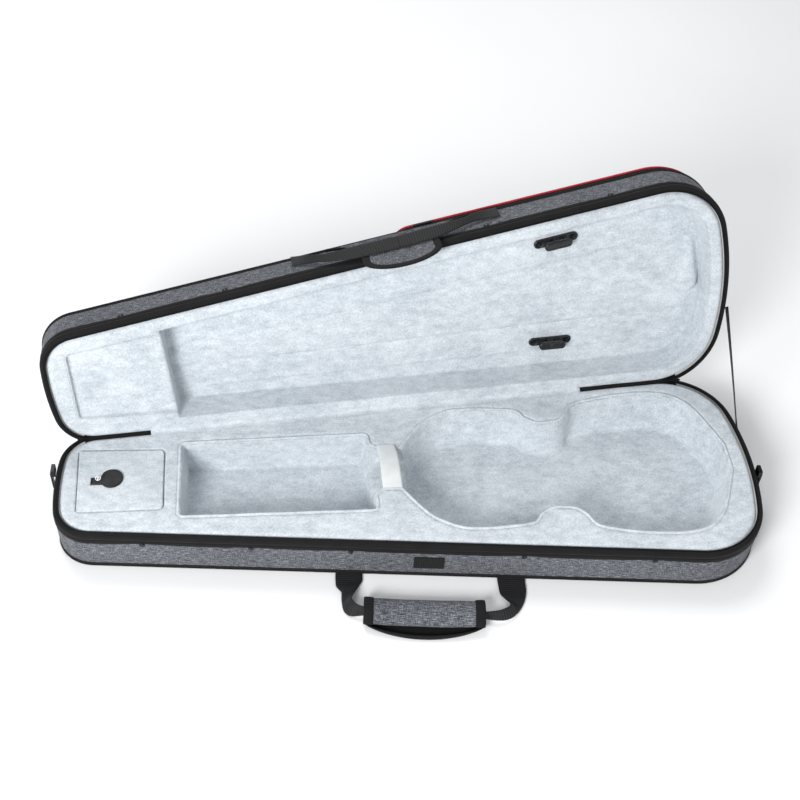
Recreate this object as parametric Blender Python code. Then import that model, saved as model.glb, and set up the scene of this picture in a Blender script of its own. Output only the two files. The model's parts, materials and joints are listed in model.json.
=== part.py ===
"""Dart-shaped violin case, lid open.

Axes: +X runs toward the wide end, -Y toward the handle side, +Z up. The origin is
the middle of the base footprint, on the surface the case stands on. Everything in
the lid is drawn as if the lid were closed, then hung on an empty that opens it.

Depth h is the distance from the parting plane, downward in the base and upward in
the lid. Offset is the distance outside the line of the zip teeth.
"""

import math

import bmesh
import bpy
from mathutils import Matrix, Vector

MM = 0.001

# Plan of the case at the line of the zip teeth
LENGTH = 800 * MM
NARROW_WIDTH = 128.4 * MM
WIDE_WIDTH = 267.1 * MM
NARROW_BULGE = 6.7 * MM
WIDE_BULGE = 24.5 * MM
NARROW_CORNER_R = 37.7 * MM
WIDE_CORNER_R = 71.4 * MM
NARROW_NOSE_R = 297 * MM
WIDE_NOSE_R = 355 * MM

# Heights
RIM_Z = 55.8 * MM
BASE_HEIGHT = RIM_Z
LID_HEIGHT = 51.4 * MM
LID_OPEN_DEG = 103.6
GAP = 0.3 * MM

# Layers of the shell
CORE_OFFSET = 5.0 * MM
COVER_INNER = 5.3 * MM
COVER_OUTER = 6.6 * MM
TAPE_OUTER = 7.2 * MM
TAPE_DEPTH = 12.5 * MM
CORE_TOP = 4.1 * MM
LINING_TOP = 0.6 * MM
LINING_SHEET = 3.8 * MM
LINING_T = 1.5 * MM
CORE_CLEAR = 0.7 * MM
DRAFT_START = 3.1 * MM
PIPING_R = 2.0 * MM
PIPING_OFFSET = 5.6 * MM
PIPING_DEPTH = 2.5 * MM
PANEL_OFFSET = 3.2 * MM
PANEL_T = 3.0 * MM
PANEL_CHAMFER = 0.8 * MM
COVER_EDGE = 4.8 * MM
GROOVE_DEG = 57.0
GROOVE_REACH = 12 * MM
SHARP_DEG = 35

# Violin cavity
VIOLIN_AXIS_Y = 5 * MM
CAVITY_DEPTH = 45 * MM
CAVITY_FLOOR_SCALE = (0.955, 0.82)
BODY_HALF_OUTLINE = (
    (-13, 27.5), (5, 53), (22, 71), (47, 84), (70, 87), (100, 86), (130, 82), (139, 71),
    (155, 62), (179, 64), (192, 74), (199, 86), (208, 92), (232, 98), (265, 103),
    (300, 104), (328, 97), (347, 78), (361, 47), (372, 18),
)
NECK_SLOT_DEPTH = 22 * MM
NECK_SLOT_OUTLINE = (
    (-60, -41), (-47, -30), (-38, -21), (4, -21), (4, 34), (-37, 34), (-47, 47), (-60, 52),
)

# Accessory well and lidded compartment
WELL_CORNERS = ((-264, -49.5), (-45, -51), (-51, 58), (-265, 54))
WELL_FLOOR_INSET = 9 * MM
HATCH_CORNERS = ((-378, -40), (-283, -40), (-285, 46), (-382, 49))
HATCH_T = 3.4 * MM
HATCH_STEP = 5.0 * MM
HATCH_LEDGE = 5.0 * MM
CUT_ABOVE = -3 * MM

# Lid recesses
LID_RIM_BAND = 16 * MM
LID_FLOOR_BAND = 19 * MM
LID_DEPTH = 36 * MM
LID_RECESS_X = -266 * MM
PAD_CORNERS = ((-373, -48), (-266.5, -56), (-266.5, 53), (-377, 39))
PAD_DEPTH = 4.5 * MM

# Fittings
WEB_T = 2.0 * MM
STRAP_WIDTH = 22 * MM
STAY_WIDTH = 12 * MM
GRIP_LENGTH = 133 * MM
GRIP_CENTRE = (0.0, -161.5 * MM, 10.4 * MM)
GRIP_CORE_RADII = (13.5, 6.2)
GRIP_HOLE_RADII = (13.9, 6.6)
GRIP_WRAP_RADII = (16, 9)
GRIP_BINDING_RADII = (16.8, 9.8)
GRIP_BINDING_WIDTH = 11 * MM
HANDLE_PIVOT_Z = 106.6 * MM
TONGUE_TOP = 73.4
POCKET_X = 8 * MM
POCKET_INSET = -4.5 * MM
POCKET_CORNER_R = 26 * MM
POCKET_GUSSET = 10 * MM
STUD_X = (-304, -186, -77, 114, 258)
LID_STUD_X = (-304, -186, 114, 258)

SIDE_ANGLE = math.atan2(
    (WIDE_WIDTH - NARROW_WIDTH) / 2, LENGTH - NARROW_BULGE - WIDE_BULGE
)
HINGE_POINT = Vector((-LENGTH / 2 + NARROW_BULGE, NARROW_WIDTH / 2, RIM_Z))
HINGE_AXIS = Vector((math.cos(SIDE_ANGLE), math.sin(SIDE_ANGLE), 0))
FRONT_ALONG = Vector((math.cos(SIDE_ANGLE), -math.sin(SIDE_ANGLE), 0))
FRONT_OUT = Vector((-math.sin(SIDE_ANGLE), -math.cos(SIDE_ANGLE), 0))
UP = Vector((0, 0, 1))
BASE, LID = -1, 1


# ---------------------------------------------------------------- materials

def material(name, colour, roughness, metallic=0.0):
    found = bpy.data.materials.get(name)
    if found:
        return found
    made = bpy.data.materials.new(name)
    made.use_nodes = True
    shader = made.node_tree.nodes["Principled BSDF"]
    shader.inputs["Base Color"].default_value = (*colour, 1)
    shader.inputs["Roughness"].default_value = roughness
    shader.inputs["Metallic"].default_value = metallic
    made.diffuse_color = (*colour, 1)
    return made


def canvas():
    return material("grey_canvas", (0.19, 0.2, 0.22), 0.85)


def black_web():
    return material("black_webbing", (0.016, 0.016, 0.017), 0.7)


def plush():
    return material("pale_plush", (0.62, 0.67, 0.71), 0.95)


def foam():
    return material("foam_core", (0.8, 0.8, 0.78), 0.9)


def plastic():
    return material("black_plastic", (0.01, 0.01, 0.011), 0.25)


def steel():
    return material("bright_steel", (0.62, 0.62, 0.6), 0.3, 1.0)


# ---------------------------------------------------------------- outlines

def rounded_loop(corners, offset=0.0):
    """Anticlockwise polygon of (x, y, radius, steps) corners, rounded, then grown by offset."""
    points = []
    count = len(corners)
    for i, (x, y, radius, steps) in enumerate(corners):
        here = Vector((x, y))
        before = (here - Vector(corners[i - 1][:2])).normalized()
        after = (Vector(corners[(i + 1) % count][:2]) - here).normalized()
        turn = math.atan2(before.cross(after), before.dot(after))
        start = here - before * radius * math.tan(turn / 2)
        centre = start + Vector((-before.y, before.x)) * radius
        first = math.atan2(-before.x, before.y)
        for step in range(steps + 1):
            angle = first + turn * step / steps
            reach = radius + offset
            points.append((centre.x + reach * math.cos(angle), centre.y + reach * math.sin(angle)))
    return points


def plan(offset=0.0):
    """Outline of the case, from the middle of the narrow end."""
    narrow_x = -LENGTH / 2 + NARROW_BULGE
    wide_x = LENGTH / 2 - WIDE_BULGE
    corners = (
        (-LENGTH / 2, 0, NARROW_NOSE_R, 4),
        (narrow_x, -NARROW_WIDTH / 2, NARROW_CORNER_R, 7),
        (wide_x, -WIDE_WIDTH / 2, WIDE_CORNER_R, 9),
        (LENGTH / 2, 0, WIDE_NOSE_R, 6),
        (wide_x, WIDE_WIDTH / 2, WIDE_CORNER_R, 9),
        (narrow_x, NARROW_WIDTH / 2, NARROW_CORNER_R, 7),
    )
    return rounded_loop(corners, offset)


def half_width(x):
    """Distance of the straight side from the centre line."""
    wide_x = LENGTH / 2 - WIDE_BULGE
    return WIDE_WIDTH / 2 - (wide_x - x) * math.tan(SIDE_ANGLE)


def pocket_plan(offset=0.0):
    """Outline of the music pocket, beside the line of the zip teeth."""
    narrow = half_width(POCKET_X) - POCKET_INSET
    wide_x = LENGTH / 2 - WIDE_BULGE - POCKET_INSET
    wide = half_width(wide_x) - POCKET_INSET
    corners = (
        (POCKET_X, -narrow, POCKET_CORNER_R, 5),
        (wide_x, -wide, WIDE_CORNER_R - POCKET_INSET, 7),
        (LENGTH / 2 - POCKET_INSET, 0, WIDE_NOSE_R, 4),
        (wide_x, wide, WIDE_CORNER_R - POCKET_INSET, 7),
        (POCKET_X, narrow, POCKET_CORNER_R, 5),
    )
    return rounded_loop(corners, offset)


def recess_plan(offset, edge_x):
    """The case outline cut off square at the pad of the lid."""
    loop = plan(offset)
    kept = []
    for i, (x, y) in enumerate(loop):
        last_x, last_y = loop[i - 1]
        if (x - edge_x) * (last_x - edge_x) < 0:
            part = (edge_x - last_x) / (x - last_x)
            kept.append((edge_x, last_y + part * (y - last_y)))
        if x > edge_x:
            kept.append((x, y))
    return kept


def smooth_line(points, steps):
    """Catmull-Rom curve through the points, its ends included."""
    line = []
    padded = [points[0], *points, points[-1]]
    for i in range(1, len(padded) - 2):
        p0, p1, p2, p3 = (Vector(p) for p in padded[i - 1:i + 3])
        for step in range(steps):
            t = step / steps
            line.append(
                0.5 * (2 * p1 + (p2 - p0) * t + (2 * p0 - 5 * p1 + 4 * p2 - p3) * t**2
                       + (3 * p1 - p0 - 3 * p2 + p3) * t**3)
            )
    line.append(Vector(points[-1]))
    return [(p.x, p.y) for p in line]


def violin_outline():
    """Body of the violin, anticlockwise, mirrored about its own axis."""
    front = smooth_line([(x * MM, -w * MM) for x, w in BODY_HALF_OUTLINE], 2)
    back = [(x, -y) for x, y in reversed(front)]
    return [(x, y + VIOLIN_AXIS_Y) for x, y in front + back]


def grown(loop, distance):
    """Each point moved outward along the bisector of its two edges."""
    moved = []
    for i, point in enumerate(loop):
        before = (Vector(point) - Vector(loop[i - 1])).normalized()
        after = (Vector(loop[(i + 1) % len(loop)]) - Vector(point)).normalized()
        normal = Vector((before.y + after.y, -before.x - after.x)).normalized()
        lean = max(0.5, normal.dot(Vector((before.y, -before.x))))
        moved.append((point[0] + normal.x * distance / lean, point[1] + normal.y * distance / lean))
    return moved


def scaled(loop, factors):
    """The loop shrunk about the middle of its box."""
    middle_x = (min(p[0] for p in loop) + max(p[0] for p in loop)) / 2
    middle_y = (min(p[1] for p in loop) + max(p[1] for p in loop)) / 2
    return [
        (middle_x + (x - middle_x) * factors[0], middle_y + (y - middle_y) * factors[1])
        for x, y in loop
    ]


def in_mm(points):
    return [(x * MM, y * MM) for x, y in points]


# ---------------------------------------------------------------- solids

def mesh_object(name, vertices, faces, look, smooth=False):
    mesh = bpy.data.meshes.new(name)
    mesh.from_pydata([tuple(v) for v in vertices], [], faces)
    work = bmesh.new()
    work.from_mesh(mesh)
    bmesh.ops.remove_doubles(work, verts=work.verts, dist=0.00002)
    bmesh.ops.recalc_face_normals(work, faces=work.faces)
    if work.calc_volume(signed=True) < 0:
        bmesh.ops.reverse_faces(work, faces=work.faces)
    work.to_mesh(mesh)
    work.free()
    mesh.materials.append(look)
    made = bpy.data.objects.new(name, mesh)
    bpy.context.collection.objects.link(made)
    if smooth:
        mesh.shade_smooth()
        mesh.set_sharp_from_angle(angle=math.radians(SHARP_DEG))
    return made


def loft(name, loops, look, smooth=False):
    """Closed solid through loops of 3-D points with equal counts."""
    count = len(loops[0])
    vertices = [point for loop in loops for point in loop]
    faces = [
        (a * count + i, a * count + (i + 1) % count,
         (a + 1) * count + (i + 1) % count, (a + 1) * count + i)
        for a in range(len(loops) - 1) for i in range(count)
    ]
    faces.append(tuple(reversed(range(count))))
    faces.append(tuple(range((len(loops) - 1) * count, len(loops) * count)))
    return mesh_object(name, vertices, faces, look, smooth)


def at_depth(loop, side, depth):
    return [(x, y, RIM_Z + side * depth) for x, y in loop]


def layers(name, stack, side, look, smooth=False):
    """Solid through (outline, depth) pairs of one half of the case."""
    return loft(name, [at_depth(loop, side, depth) for loop, depth in stack], look, smooth)


def ring(name, outline, profile, side, look, smooth=False):
    """Closed band around an outline, with a profile of (offset, depth) points."""
    loops = [at_depth(outline(offset), side, depth) for offset, depth in profile]
    count = len(loops[0])
    turns = len(loops)
    vertices = [point for loop in loops for point in loop]
    faces = [
        (a * count + i, a * count + (i + 1) % count,
         (a + 1) % turns * count + (i + 1) % count, (a + 1) % turns * count + i)
        for a in range(turns) for i in range(count)
    ]
    return mesh_object(name, vertices, faces, look, smooth)


def circle_profile(offset, depth, radius, sides):
    return [
        (offset + radius * math.cos(2 * math.pi * i / sides),
         depth + radius * math.sin(2 * math.pi * i / sides))
        for i in range(sides)
    ]


def boolean(target, cutter, operation="DIFFERENCE"):
    """Cuts or joins, keeps the result as the target's own mesh and drops the cutter."""
    modifier = target.modifiers.new(operation, "BOOLEAN")
    modifier.operation = operation
    modifier.solver = "EXACT"
    modifier.object = cutter
    bpy.context.view_layer.update()
    evaluated = target.evaluated_get(bpy.context.evaluated_depsgraph_get())
    result = bpy.data.meshes.new_from_object(evaluated)
    target.modifiers.clear()
    target.data = result
    bpy.data.objects.remove(cutter)
    return target


def boxed(name, low, high, look):
    """Box between two corners."""
    (x0, y0, z0), (x1, y1, z1) = low, high
    lower = [(x0, y0, z0), (x1, y0, z0), (x1, y1, z0), (x0, y1, z0)]
    upper = [(x, y, z1) for x, y, _ in lower]
    return loft(name, [lower, upper], look)


def turned(name, centre, axis, stations, sides, look):
    """Round solid of (height, radius) stations along an axis."""
    axis = axis.normalized()
    across = axis.orthogonal().normalized()
    other = axis.cross(across)
    loops = [
        [centre + axis * height + (across * math.cos(a) + other * math.sin(a)) * radius
         for a in (2 * math.pi * i / sides for i in range(sides))]
        for height, radius in stations
    ]
    return loft(name, loops, look, smooth=True)


def front_point(x, offset, z):
    """Point outside the straight front side."""
    return Vector((x, -half_width(x), z)) + FRONT_OUT * offset


def front_slab(name, outline, inner, outer, look):
    """Plate on the front side with an outline of (x, z) points in millimetres."""
    loops = [
        [front_point(x * MM, offset, z * MM) for x, z in outline]
        for offset in (inner, outer)
    ]
    return loft(name, loops, look)


def arc_points(centre, radii, start_deg, end_deg, steps):
    """Points on an ellipse, in the units of its centre."""
    return [
        (centre[0] + radii[0] * math.cos(math.radians(start_deg + (end_deg - start_deg) * i / steps)),
         centre[1] + radii[1] * math.sin(math.radians(start_deg + (end_deg - start_deg) * i / steps)))
        for i in range(steps + 1)
    ]


# ---------------------------------------------------------------- placing

def pivot(name, point):
    """Empty on a joint's axis."""
    empty = bpy.data.objects.new(name, None)
    bpy.context.collection.objects.link(empty)
    empty.location = point
    return empty


def hang(piece, frame=None, point=None):
    """Gives a piece its origin at a point, under the lid's pivot if it is in the lid."""
    origin = point if point is not None else Vector((0, 0, 0))
    piece.data.transform(Matrix.Translation(-origin))
    piece.parent = frame
    piece.location = origin - HINGE_POINT if frame else origin
    return piece


# ---------------------------------------------------------------- shell halves

def groove_cutter():
    """Wedge that frees both halves beside the fabric hinge as the lid swings back."""
    outward = Vector((-HINGE_AXIS.y, HINGE_AXIS.x, 0))
    start = 0.2 * MM
    slope = math.tan(math.radians(GROOVE_DEG))
    section = (
        (start, -start * slope), (start, start * slope),
        (GROOVE_REACH, GROOVE_REACH * slope), (GROOVE_REACH, -GROOVE_REACH * slope),
    )
    ends = (-60 * MM, LENGTH + 40 * MM)
    loops = [
        [HINGE_POINT + HINGE_AXIS * s + outward * o + UP * u for o, u in section]
        for s in ends
    ]
    return loft("cutter", loops, foam())


def teeth_cutter():
    """Box that ends the row of teeth where the fabric hinge begins."""
    outward = Vector((-HINGE_AXIS.y, HINGE_AXIS.x, 0))
    section = (
        (-0.5 * MM, -8 * MM), (12 * MM, -8 * MM), (12 * MM, 8 * MM), (-0.5 * MM, 8 * MM),
    )
    ends = (8 * MM, 742 * MM)
    loops = [
        [HINGE_POINT + HINGE_AXIS * s + outward * o + UP * u for o, u in section]
        for s in ends
    ]
    return loft("cutter", loops, foam())


def shell_half(prefix, side, height, frame):
    """Outer panel, canvas side, seam piping, zip tape and teeth of one half."""
    panel = layers(
        prefix + "_panel",
        ((plan(PANEL_OFFSET), height - PANEL_T), (plan(PANEL_OFFSET), height - PANEL_CHAMFER),
         (plan(PANEL_OFFSET - PANEL_CHAMFER), height)),
        side, canvas(),
    )
    piping = ring(
        prefix + "_piping", plan,
        circle_profile(PIPING_OFFSET, height - PIPING_DEPTH, PIPING_R, 8), side, black_web(), True,
    )
    cover = ring(
        prefix + "_cover", plan,
        ((COVER_INNER, TAPE_DEPTH + GAP), (COVER_OUTER, TAPE_DEPTH + GAP),
         (COVER_OUTER, height - COVER_EDGE), (COVER_INNER, height - COVER_EDGE)),
        side, canvas(),
    )
    tape = ring(
        prefix + "_zip_tape", plan,
        ((COVER_INNER, TAPE_DEPTH), (TAPE_OUTER, TAPE_DEPTH), (TAPE_OUTER, 2.6 * MM),
         (6.2 * MM, 0.7 * MM), (3.0 * MM, 0.4 * MM), (3.0 * MM, 1.8 * MM), (COVER_INNER, 2.8 * MM)),
        side, black_web(),
    )
    boolean(tape, groove_cutter())
    teeth = ring(
        prefix + "_zip_teeth", plan,
        ((0.4 * MM, 0.3 * MM), (2.7 * MM, 0.3 * MM), (2.7 * MM, 2.2 * MM), (0.4 * MM, 2.2 * MM)),
        side, plastic(),
    )
    boolean(teeth, teeth_cutter())
    for piece in (panel, piping, cover, tape, teeth):
        hang(piece, frame)


def core_half(name, side, height, hollow, frame):
    """Foam body of one half, with its cavities cut clear of the lining."""
    core = layers(
        name,
        ((plan(CORE_OFFSET), CORE_TOP), (plan(CORE_OFFSET), height - COVER_EDGE - GAP),
         (plan(PANEL_OFFSET - GAP), height - PANEL_T - GAP)),
        side, foam(),
    )
    boolean(core, hollow(LINING_T + CORE_CLEAR))
    boolean(core, groove_cutter())
    return hang(core, frame)


def lining_half(name, side, hollow, frame):
    """Plush sheet over the rim that runs down into every cavity."""
    lining = layers(name, ((plan(0), LINING_TOP), (plan(0), LINING_SHEET)), side, plush())
    boolean(lining, hollow(LINING_T, LINING_SHEET - 1 * MM), "UNION")
    boolean(lining, hollow(0.0))
    return hang(lining, frame)


# ---------------------------------------------------------------- cavities

def base_hollow(grow, top=CUT_ABOVE):
    """Violin cavity, neck slot, accessory well and compartment as one body."""
    outline = violin_outline()
    floor = scaled(outline, CAVITY_FLOOR_SCALE)
    body = layers(
        "cutter",
        ((grown(outline, grow), top), (grown(outline, grow), DRAFT_START),
         (grown(floor, grow), CAVITY_DEPTH + grow)),
        BASE, plush(),
    )
    well = in_mm(WELL_CORNERS)
    well_floor = grown(well, -WELL_FLOOR_INSET / 2)
    boolean(body, layers(
        "cutter",
        ((grown(well, grow), top), (grown(well, grow), DRAFT_START),
         (grown(well_floor, grow), CAVITY_DEPTH + grow)),
        BASE, plush(),
    ), "UNION")
    slot = in_mm(NECK_SLOT_OUTLINE)
    boolean(body, layers(
        "cutter", ((grown(slot, grow), top), (grown(slot, grow), NECK_SLOT_DEPTH + grow)),
        BASE, plush(),
    ), "UNION")
    hatch = in_mm(HATCH_CORNERS)
    box = grown(hatch, -HATCH_LEDGE)
    compartment = layers(
        "cutter", ((grown(hatch, grow + GAP), top), (grown(hatch, grow + GAP), HATCH_STEP + grow)),
        BASE, plush(),
    )
    boolean(compartment, layers(
        "cutter",
        ((grown(box, grow), top), (grown(box, grow), DRAFT_START),
         (grown(box, grow - 3 * MM), CAVITY_DEPTH + grow)),
        BASE, plush(),
    ), "UNION")
    return boolean(body, compartment, "UNION")


def lid_hollow(grow, top=CUT_ABOVE):
    """Deep recess over the violin and the shallow pad over the compartment."""
    edge = LID_RECESS_X - grow
    recess = layers(
        "cutter",
        ((recess_plan(grow - LID_RIM_BAND, edge), top),
         (recess_plan(grow - LID_RIM_BAND, edge), DRAFT_START),
         (recess_plan(grow - LID_FLOOR_BAND, edge), LID_DEPTH + grow)),
        LID, plush(),
    )
    pad = in_mm(PAD_CORNERS)
    pad[1] = (pad[1][0] + 4 * MM, pad[1][1])
    pad[2] = (pad[2][0] + 4 * MM, pad[2][1])
    return boolean(recess, layers(
        "cutter", ((grown(pad, grow), top), (grown(pad, grow), LINING_TOP + PAD_DEPTH + grow)),
        LID, plush(),
    ), "UNION")


# ---------------------------------------------------------------- base fittings

def compartment_lid():
    """Plush-covered board, hinged along its narrow-end edge, with its pull tab and rivet."""
    (x0, y0), (x1, y1), (x2, y2), (x3, y3) = in_mm(HATCH_CORNERS)
    loop = rounded_loop((
        (x0, y0, 1 * MM, 2), (x1, y1, 5 * MM, 4), (x2, y2, 5 * MM, 4), (x3, y3, 1 * MM, 2),
    ))
    board = layers("compartment_lid", ((loop, LINING_TOP), (loop, LINING_TOP + HATCH_T)), BASE, plush())
    hinge_line = Vector(((x0 + x3) / 2, (y0 + y3) / 2, RIM_Z - LINING_TOP))
    hang(board, None, hinge_line)
    top = RIM_Z - LINING_TOP + GAP
    tab_outline = in_mm(
        [(-365, -2.5), (-354, -2.5)]
        + arc_points((-342, 5), (13, 13), -128, 128, 14)
        + [(-354, 12.5), (-365, 12.5)]
    )
    leather = material("black_leather", (0.012, 0.012, 0.013), 0.45)
    tab = loft(
        "pull_tab",
        [[(x, y, top) for x, y in tab_outline], [(x, y, top + 1.5 * MM) for x, y in tab_outline]],
        leather,
    )
    hang(tab, None, Vector((-362 * MM, 5 * MM, top)))
    rivet = turned(
        "tab_rivet", Vector((-357 * MM, 5 * MM, top + 1.5 * MM + GAP)), UP,
        ((0, 3.8 * MM), (0.5 * MM, 3.7 * MM), (1.0 * MM, 2.6 * MM), (1.15 * MM, 1.0 * MM)), 16, steel(),
    )
    hang(rivet, None, hinge_line)


def neck_strap():
    """Satin ribbon across the neck slot, sewn down on the hinge side."""
    top = RIM_Z - LINING_TOP + GAP
    satin = material("white_satin", (0.8, 0.81, 0.81), 0.35)
    loop = in_mm(((-38, -24), (-14, -24), (-15, 41), (-38, 43)))
    sewn_edge = (Vector(loop[2]) + Vector(loop[3])) / 2
    layers_up = [[(x, y, top + rise) for x, y in loop] for rise in (0, 0.9 * MM)]
    hang(loft("neck_strap", layers_up, satin), None, Vector((*sewn_edge, top)))


def fastening_patch():
    """Hook-and-loop patch that the tongue presses on."""
    outline = ((-7, 16), (27, 16), (27, 36), (-7, 36))
    patch = front_slab("velcro_patch", outline, 6.9 * MM, 7.7 * MM, black_web())
    hang(patch)


def cover_stud(name, x, z, frame):
    """Small domed stud that pins the canvas under the zip tape."""
    centre = front_point(x * MM, TAPE_OUTER + GAP, z)
    stud = turned(
        name, centre, FRONT_OUT,
        ((0, 3.2 * MM), (0.7 * MM, 3.0 * MM), (1.4 * MM, 2.0 * MM), (1.7 * MM, 0.8 * MM)), 12, plastic(),
    )
    hang(stud, frame)


def web_solid(name, sections, thickness, look):
    """Webbing through cross lines, each a pair of edge points, thickened along its own normal."""
    loops = []
    for i, (left, right) in enumerate(sections):
        before = sections[max(i - 1, 0)]
        after = sections[min(i + 1, len(sections) - 1)]
        heading = (after[0] + after[1] - before[0] - before[1]).normalized()
        normal = heading.cross(right - left).normalized() * thickness / 2
        loops.append([left - normal, right - normal, right + normal, left + normal])
    return loft(name, loops, look)


def base_handle(pivot_point):
    """Padded grip on two webs that lie on the floor in front of the case."""
    left_edges = (
        ((-64, -109.0, 1.5), (-94, -106.3, 1.5)), ((-65, -118, 1.2), (-96, -117, 1.2)),
        ((-66, -130, 1.4), (-97, -133, 1.6)), ((-66, -139, 5), (-93, -150, 4)),
        ((-67, -144.5, 9), (-84, -163, 8.5)), ((-67.5, -146.5, 10.4), (-69.5, -168, 10.4)),
    )
    right_edges = (
        ((87, -123.0, 1.5), (119, -125.9, 1.5)), ((85, -131, 1.2), (117, -133, 1.2)),
        ((82, -139, 1.4), (115, -146, 1.6)), ((74, -149, 5), (105, -162, 4)),
        ((70, -155.5, 9), (86, -174, 8.5)), ((68.2, -158, 10.4), (66.4, -179.5, 10.4)),
    )
    for name, edges in (("base_handle_web_left", left_edges), ("base_handle_web_right", right_edges)):
        sections = [(Vector(a) * MM, Vector(b) * MM) for a, b in edges]
        hang(web_solid(name, sections, WEB_T, black_web()), None, pivot_point)
    half = GRIP_LENGTH / 2
    edge = half - GRIP_BINDING_WIDTH
    wrap = (-edge + GAP, edge - GAP)
    hang(grip_tube("base_grip_core", (-half, half), GRIP_CORE_RADII, black_web()), None, pivot_point)
    sleeves = (
        ("base_grip_wrap", wrap, GRIP_WRAP_RADII, canvas()),
        ("base_grip_binding_left", (-half, -edge), GRIP_BINDING_RADII, black_web()),
        ("base_grip_binding_right", (edge, half), GRIP_BINDING_RADII, black_web()),
    )
    for name, ends, radii, look in sleeves:
        sleeve = grip_tube(name, ends, radii, look)
        hole_ends = (ends[0] - 2 * MM, ends[1] + 2 * MM)
        boolean(sleeve, grip_tube("cutter", hole_ends, GRIP_HOLE_RADII, look))
        hang(sleeve, None, pivot_point)


def grip_tube(name, ends, radii_mm, look):
    """Oval bar along the front edge, between two distances from its middle."""
    centre = Vector(GRIP_CENTRE)

    def oval(at, radii):
        return [
            centre + FRONT_ALONG * at + FRONT_OUT * radii[0] * MM * math.cos(a)
            + UP * radii[1] * MM * math.sin(a)
            for a in (2 * math.pi * i / 16 for i in range(16))
        ]

    return loft(name, [oval(at, radii_mm) for at in ends], look, smooth=True)


def zip_slider(name, pull_name, end_x, outward, y):
    """Slider on the end wall, straddling the parting line, with its hanging pull."""
    face = end_x + outward * (TAPE_OUTER + GAP)
    slider = boxed(
        name, (min(face, face + outward * 4.2 * MM), y - 5.5 * MM, RIM_Z - 5 * MM),
        (max(face, face + outward * 4.2 * MM), y + 5.5 * MM, RIM_Z + 5 * MM), steel(),
    )
    hang(slider, None, Vector((face, y, RIM_Z)))
    pull_face = face + outward * 4.5 * MM
    hinge = Vector((pull_face, y, RIM_Z - 2 * MM))
    width = 3.6 * MM
    outline = [(-width, 0), (width, 0), (width, -24 * MM)] + [
        (x, z) for x, z in arc_points((0, -24 * MM), (width, width), 0, -180, 6)[1:-1]
    ] + [(-width, -24 * MM)]
    loops = [
        [(pull_face + outward * rise, y + a, hinge.z + b) for a, b in outline]
        for rise in (0, 1.6 * MM)
    ]
    hang(loft(pull_name, loops, steel()), None, hinge)


# ---------------------------------------------------------------- lid fittings

def lid_handle(frame):
    """Flat webbing handle over the front of the lid, swinging on its sewn ends."""
    stations = (
        (-107, 95, 9.0), (-90, 95, 9.2), (-74, 91, 12.5), (-45, 87, 14.0), (15, 85, 14.4),
        (74, 85, 14.0), (101, 86, 12.5), (117, 88, 9.2), (133, 88, 9.0),
    )
    half = STRAP_WIDTH / 2
    sections = [
        (front_point(x * MM, offset * MM, z * MM - half), front_point(x * MM, offset * MM, z * MM + half))
        for x, z, offset in stations
    ]
    web = web_solid("lid_handle_web", sections, WEB_T, black_web())
    hang(web, frame, front_point(17 * MM, 8.0 * MM, HANDLE_PIVOT_Z))


def flap(frame):
    """Canvas panel under the handle and the tongue that closes over the base."""
    bell = (
        (-62, 101.8), (-48, 97), (-38, 88), (-31, 74.2), (59, 74.2), (66, 88), (80, 97), (97, 101.8),
    )
    hang(front_slab("flap_panel", bell, 6.9 * MM, 8.1 * MM, canvas()), frame)
    tongue_outline = [(58, TONGUE_TOP), (-30, TONGUE_TOP), (-30, 46)]
    tongue_outline += arc_points((14, 46), (44, 29), 180, 360, 12)[1:]
    inset = [(50, 71), (-22, 71), (-22, 47)] + arc_points((14, 47), (36, 22), 180, 360, 12)[1:]
    hinge = front_point(14 * MM, 9.9 * MM, TONGUE_TOP * MM)
    binding = front_slab("tongue_binding", tongue_outline, 9.3 * MM, 10.9 * MM, black_web())
    window = front_slab("cutter", inset, 8.0 * MM, 12 * MM, black_web())
    boolean(binding, window)
    hang(binding, frame, hinge)
    canvas_outline = grown(inset, -GAP / MM)
    hang(front_slab("flap_tongue", canvas_outline, 9.5 * MM, 10.7 * MM, canvas()), frame, hinge)
    hooks = ((-5, 32), (25, 32), (25, 49), (-5, 49))
    hang(front_slab("tongue_velcro", hooks, 8.3 * MM, 9.2 * MM, black_web()), frame, hinge)


def music_pocket(frame):
    """Flat zipped pocket on the outside of the lid."""
    outside = LID_HEIGHT + GAP
    gusset = layers(
        "pocket_zip_tape",
        ((pocket_plan(-3 * MM), outside), (pocket_plan(-3 * MM), outside + POCKET_GUSSET)),
        LID, black_web(),
    )
    hang(gusset, frame)
    red = material("red_piping", (0.5, 0.03, 0.04), 0.5)
    bead = ring(
        "pocket_piping", pocket_plan,
        circle_profile(0, outside + POCKET_GUSSET + 1.4 * MM, 1.6 * MM, 6), LID, red, True,
    )
    hang(bead, frame)
    start = outside + POCKET_GUSSET + GAP
    pocket = layers(
        "music_pocket",
        ((pocket_plan(-2.2 * MM), start), (pocket_plan(-2.2 * MM), start + 2.6 * MM),
         (pocket_plan(-12 * MM), start + 5.2 * MM), (pocket_plan(-25 * MM), start + 6 * MM)),
        LID, canvas(), True,
    )
    hang(pocket, frame)
    slider_at = front_point(55 * MM, -POCKET_INSET - 0.9 * MM, RIM_Z + outside + POCKET_GUSSET / 2)
    slider = oriented_box("pocket_slider", slider_at, (9 * MM, 3.0 * MM, 4.2 * MM), steel())
    hang(slider, frame, slider_at)
    pull_at = slider_at + FRONT_OUT * 2.1 * MM + FRONT_ALONG * 4 * MM
    pull = oriented_box(
        "pocket_pull", pull_at - FRONT_ALONG * 11 * MM + FRONT_OUT * 0.5 * MM,
        (22 * MM, 1.2 * MM, 4.0 * MM), steel(),
    )
    hang(pull, frame, pull_at)


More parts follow.
